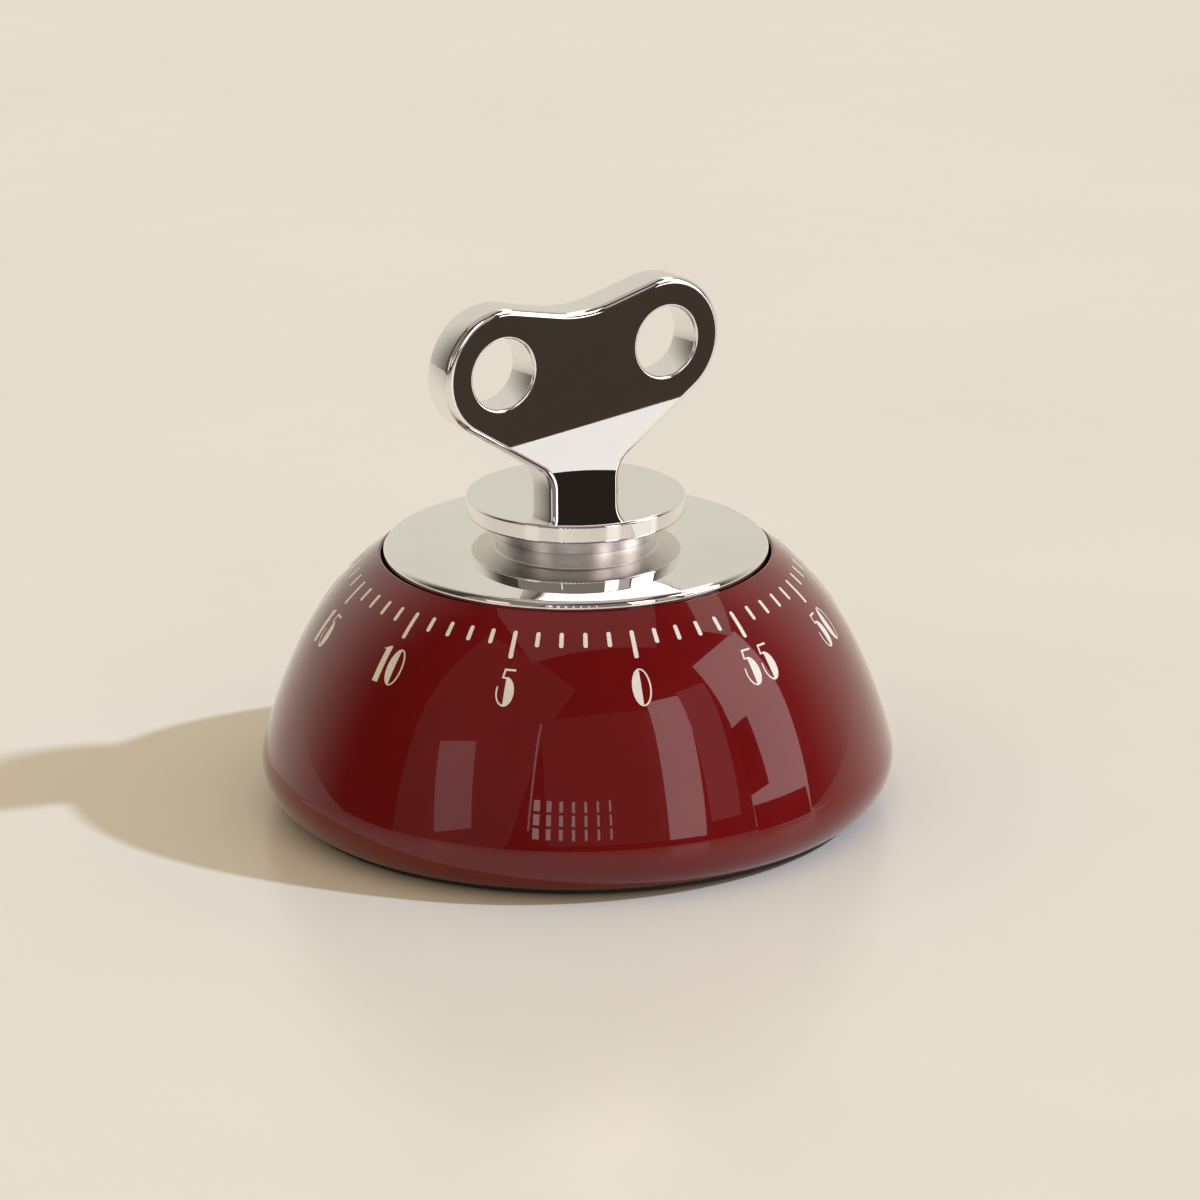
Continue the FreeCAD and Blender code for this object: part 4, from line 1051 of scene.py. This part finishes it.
def fine_runs(points: list[Point], longest: float) -> list[Point]:
    """Divide the long straight runs of an open line, so that a bevel along it shades evenly.

    Args:
        points: The line's points.
        longest: The longest run that is kept whole, in millimetres.

    Returns:
        The line with the points that divide its long runs.
    """
    line = [points[0]]
    for (x0, y0), (x1, y1) in zip(points, points[1:]):
        count = max(1, math.ceil(math.dist((x0, y0), (x1, y1)) / longest))
        for step in range(1, count + 1):
            share = step / count
            line.append((x0 + (x1 - x0) * share, y0 + (y1 - y0) * share))
    return line


def arc_fillet(corner: Point, slope: float, radius: float) -> list[Point]:
    """Round the bottom of a shallow valley.

    Args:
        corner: The valley's sharp lowest point.
        slope: The slope of both of its sides, in degrees.
        radius: The radius of the rounding.

    Returns:
        The points of the rounding, from right to left.
    """
    height = corner[1] + radius / math.cos(math.radians(slope))
    return arc((corner[0], height), radius, slope - 90, -slope - 90, 12)


# ---- underside -------------------------------------------------------------------------------


@dataclass
class FootRing:
    """The rubber ring that the timer stands on."""

    inner: float = 31.6
    outer: float = 34.6
    top: float = 1.0
    edge: float = 0.35

    def build(self) -> bpy.types.Object:
        """Turn the ring."""
        corners = [
            (self.inner, 0.0, self.edge),
            (self.outer, 0.0, self.edge),
            (self.outer, self.top, 0.0),
            (self.inner, self.top, 0.0),
        ]
        piece = turn_outline("rubber_foot", rounded(corners), steps=160)
        dress(piece, Finish.FOOT_RUBBER)
        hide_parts("foot_ring")
        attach(piece, "base")
        return piece


@dataclass
class Movement:
    """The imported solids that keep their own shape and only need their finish."""

    finishes: dict[str, Finish] = field(default_factory=dict)

    def __post_init__(self) -> None:
        """Read each node's finish from the record."""
        by_slot = {finish.slot: finish for finish in Finish}
        for part in frame["record"]["subparts"]:
            self.finishes[part["node"]] = by_slot[part["material_slot"]]

    def build(self) -> list[bpy.types.Object]:
        """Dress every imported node."""
        for name, node in frame["nodes"].items():
            material = self.finishes[name].material()
            for number in range(max(1, len(node.material_slots))):
                if number < len(node.material_slots):
                    node.material_slots[number].material = material
                else:
                    node.data.materials.append(material)
        return list(frame["nodes"].values())


# ---- studio ----------------------------------------------------------------------------------


def mirror_only(piece: bpy.types.Object) -> None:
    """Set a panel so that only mirroring surfaces see it, and so that it neither lights nor shades.
    """
    piece.visible_camera = False
    piece.visible_diffuse = False
    piece.visible_shadow = False
    piece.visible_transmission = False


@dataclass(frozen=True)
class Panel:
    """A flat panel that faces the timer from a distance.

    Attributes:
        name: The panel's name.
        bearing: The compass angle of its middle, in degrees.
        elevation: The height of its middle above the horizon, in degrees.
        width: Its width in degrees, as the timer sees it.
        height: Its height in degrees.
        light: The light that it gives.
        lean: How far it is tilted clockwise, in degrees.
        distance: Its distance in millimetres.
    """

    name: str
    bearing: float
    elevation: float
    width: float
    height: float
    light: Colour
    lean: float = 0.0
    distance: float = 1000.0

    def build(self) -> None:
        """Hang the panel."""
        half_width = self.distance * math.tan(math.radians(self.width / 2))
        half_height = self.distance * math.tan(math.radians(self.height / 2))
        bm = bmesh.new()
        bmesh.ops.create_grid(bm, x_segments=1, y_segments=1, size=1.0)
        bmesh.ops.scale(bm, vec=(half_width, half_height, 1), verts=bm.verts)
        toward = direction(self.bearing, self.elevation)
        turn = toward.to_track_quat("Z", "Y").to_matrix()
        turn = turn @ Matrix.Rotation(math.radians(-self.lean), 3, "Z")
        bmesh.ops.rotate(bm, cent=(0, 0, 0), matrix=turn, verts=bm.verts)
        bmesh.ops.translate(bm, vec=toward * self.distance, verts=bm.verts)
        piece = make_piece(bm, self.name)
        piece.data.materials.append(Glow(self.name, self.light).build())
        mirror_only(piece)


@dataclass(frozen=True)
class Flag:
    """A dark card that stands on the worktop, to darken the face of the key.

    Attributes:
        start: The near corner of its foot.
        bearing: The compass angle along its foot.
        length: The length of its foot.
        height: Its height.
        light: The little light that it gives.
        bounce: The width of the white card that lies before it.
        bounce_lift: The height of that card above the worktop.
        white: The light of that card.
    """

    start: Point = (95.0, -101.5)
    bearing: float = 10.3
    length: float = 120.0
    height: float = 24.0
    light: Colour = (0.050, 0.036, 0.027)
    bounce: float = 42.0
    bounce_lift: float = 0.2
    white: Colour = (0.92, 0.89, 0.85)

    def card(self, name: str, depth: float, lift: float, turn: Matrix) -> bpy.types.Object:
        """Cut a card whose edge runs along the foot.

        Args:
            name: The card's name.
            depth: Its size away from the foot, before it is turned.
            lift: Its height above the worktop, before it is turned.
            turn: How it is turned about the foot.

        Returns:
            The card.
        """
        bm = bmesh.new()
        bmesh.ops.create_grid(bm, x_segments=1, y_segments=1, size=0.5)
        bmesh.ops.scale(bm, vec=(self.length, depth, 1), verts=bm.verts)
        bmesh.ops.translate(bm, vec=(self.length / 2, depth / 2, lift), verts=bm.verts)
        spin = Matrix.Rotation(math.radians(self.bearing), 3, "Z")
        bmesh.ops.rotate(bm, cent=(0, 0, 0), matrix=spin @ turn, verts=bm.verts)
        bmesh.ops.translate(bm, vec=(*self.start, 0), verts=bm.verts)
        return make_piece(bm, name)

    def build(self) -> None:
        """Stand the dark card up and lay the white one before it."""
        upright = Matrix.Rotation(math.pi / 2, 3, "X")
        dark = self.card("dark_flag", self.height, 0.0, upright)
        dark.data.materials.append(Glow("dark_flag", self.light).build())
        mirror_only(dark)
        white = self.card("white_bounce", self.bounce, self.bounce_lift, Matrix.Identity(3))
        if white.data.polygons[0].normal.z < 0:
            white.data.flip_normals()
        white.data.materials.append(Glow("white_bounce", self.white, one_sided=True).build())
        mirror_only(white)


def direction(bearing: float, elevation: float) -> Vector:
    """Return the unit vector towards a bearing and an elevation, in degrees."""
    level, up = polar(1.0, elevation)
    x, y = polar(level, bearing)
    return Vector((x, y, up))


WINDOW = (2.3, 2.0, 2.0)
DAYLIGHT = (2.6, 2.5, 2.5)

PANELS = (
    Panel("ceiling", 0.0, 90.0, 44.0, 44.0, (0.52, 0.42, 0.40)),
    Panel("left_wall", -147.0, 30.0, 46.0, 66.0, (0.21, 0.19, 0.16), 10.0, 1150.0),
    Panel("far_wall", -92.0, 24.0, 46.0, 34.0, (0.21, 0.18, 0.16), 0.0, 1150.0),
    Panel("window_pane_1", -64.0, 24.0, 14.0, 36.0, WINDOW, 5.0),
    Panel("window_pane_2", -49.0, 25.0, 12.0, 34.0, (0.50, 0.42, 0.44), 5.0),
    Panel("window_pane_3", -24.0, 24.0, 27.0, 46.0, WINDOW, 8.0),
    Panel("window_bar", -35.2, 17.0, 8.5, 14.0, (0.022, 0.016, 0.013), 0.0, 900.0),
    Panel("roof_light", 26.0, 54.0, 46.0, 12.0, (1.3, 1.2, 1.1)),
    Panel("side_window", -151.0, 17.0, 14.0, 19.0, (1.1, 0.92, 0.92), -14.0),
    Panel("strip_light", -121.0, 24.0, 0.7, 26.0, (1.5, 1.4, 1.4), 3.0),
)


@dataclass(frozen=True)
class Lattice:
    """Small window lights in rows and columns, low behind the camera.

    Attributes:
        bearing: The compass angle of the first column.
        elevation: The height of the lowest row.
        pitch: The space between columns and between rows, in degrees.
        light_size: The width and the height of one light, in degrees.
        columns: The number of columns.
        rows: The number of rows.
    """

    bearing: float = -119.0
    elevation: float = 10.5
    pitch: Point = (4.4, 3.2)
    light_size: Point = (2.2, 2.5)
    columns: int = 7
    rows: int = 3

    def build(self) -> None:
        """Hang the lights."""
        for row in range(self.rows):
            for column in range(self.columns):
                Panel(
                    f"lattice_{row}_{column}",
                    self.bearing + column * self.pitch[0],
                    self.elevation + row * self.pitch[1],
                    self.light_size[0] / (1 + 0.35 * column),
                    self.light_size[1],
                    DAYLIGHT,
                ).build()


@dataclass
class Studio:
    """Worktop, light and camera.

    Attributes:
        bearing: The compass angle from the timer to the camera, in degrees from +X.
        elevation: The camera's height above the horizon, in degrees.
        distance: The camera's distance in millimetres from the point it circles.
        pivot: The height of that point.
        aim: How far right of and below that point the camera looks.
        roll: The camera's tilt in degrees.
        lens: The focal length.
        sun_bearing: The compass angle from the timer to the key light.
        sun_elevation: The key light's height.
        sun_strength: The key light's strength.
        sun_width: The key light's width in degrees.
        sun_colour: The key light's colour.
        room_colour: The colour of the even light that fills in.
        top_half: Half the width of the worktop.
        wall_gap: How far the walls stand inside the worktop's edge.
    """

    bearing: float = -104.2
    elevation: float = 18.05
    distance: float = 872.0
    pivot: float = 35.0
    aim: Point = (2.98, -8.52)
    roll: float = -0.36
    lens: float = 207.36
    sun_bearing: float = -19.3
    sun_elevation: float = 39.0
    sun_strength: float = 2.45
    sun_width: float = 2.2
    sun_colour: Colour = (0.66, 0.79, 1.0)
    room_colour: Colour = (0.70, 0.59, 0.42)
    top_half: float = 1900.0
    wall_gap: float = 50.0

    def add_camera(self) -> None:
        """Place the camera."""
        back = direction(self.bearing, self.elevation)
        pivot = Vector((0, 0, self.pivot)) * MM
        turn = back.to_track_quat("Z", "Y")
        target = pivot + turn @ Vector((self.aim[0], self.aim[1], 0)) * MM
        data = bpy.data.cameras.new("camera")
        data.lens = self.lens
        data.sensor_width = 36.0
        data.clip_start = 0.05
        data.clip_end = 20.0
        camera = bpy.data.objects.new("camera", data)
        camera.location = pivot + back * self.distance * MM
        look = (camera.location - target).to_track_quat("Z", "Y")
        camera.rotation_mode = "QUATERNION"
        spin = Matrix.Rotation(math.radians(self.roll), 3, "Z").to_quaternion()
        camera.rotation_quaternion = look @ spin
        bpy.context.scene.collection.objects.link(camera)
        bpy.context.scene.camera = camera

    def add_worktop(self) -> None:
        """Lay the worktop under the timer."""
        bm = bmesh.new()
        bmesh.ops.create_grid(bm, x_segments=1, y_segments=1, size=self.top_half)
        piece = make_piece(bm, "worktop_slab")
        piece.data.materials.append(Worktop().build())

    def add_surround(self) -> None:
        """Put up the walls that the gloss mirrors, and the panels in front of them."""
        bm = bmesh.new()
        radius = self.top_half - self.wall_gap
        bmesh.ops.create_uvsphere(bm, u_segments=64, v_segments=32, radius=radius)
        piece = make_piece(bm, "surround_wall")
        piece.data.materials.append(Surround().build())
        mirror_only(piece)
        for panel in PANELS:
            panel.build()
        Lattice().build()
        Flag().build()

    def add_sun(self) -> None:
        """Add the key light."""
        data = bpy.data.lights.new("key_light", "SUN")
        data.energy = self.sun_strength
        data.angle = math.radians(self.sun_width)
        data.color = self.sun_colour
        light = bpy.data.objects.new("key_light", data)
        light.rotation_mode = "QUATERNION"
        toward = direction(self.sun_bearing, self.sun_elevation)
        light.rotation_quaternion = toward.to_track_quat("Z", "Y")
        light.visible_glossy = False
        bpy.context.scene.collection.objects.link(light)

    def add_room(self) -> None:
        """Fill in with an even, warm light."""
        world = bpy.data.worlds.new("studio")
        bpy.context.scene.world = world
        world.use_nodes = True
        background = world.node_tree.nodes["Background"]
        background.inputs["Color"].default_value = (*self.room_colour, 1.0)
        background.inputs["Strength"].default_value = 1.0

    def build(self) -> None:
        """Set up the studio."""
        self.add_camera()
        self.add_worktop()
        self.add_surround()
        self.add_sun()
        self.add_room()
        bpy.context.scene.view_settings.view_transform = "Standard"


def report(piece: bpy.types.Object) -> None:
    """Log one piece and its size in millimetres."""
    size = ", ".join(f"{edge / MM:.1f}" for edge in piece.dimensions)
    LOG.info("%s: %s mm, %d faces", piece.name, size, len(piece.data.polygons))


def main() -> None:
    """Build the timer and its studio, and log each piece."""
    logging.basicConfig(level=logging.INFO, format="%(message)s")
    dome = Dome()
    pieces = Movement().build()
    pieces.append(dome.build())
    pieces += MinuteScale(dome).build()
    for part in (DialCap(), Collar(), WindingKey(), FootRing()):
        pieces.append(part.build())
    Studio().build()
    for piece in pieces:
        report(piece)


if __name__ == "__main__":
    main()
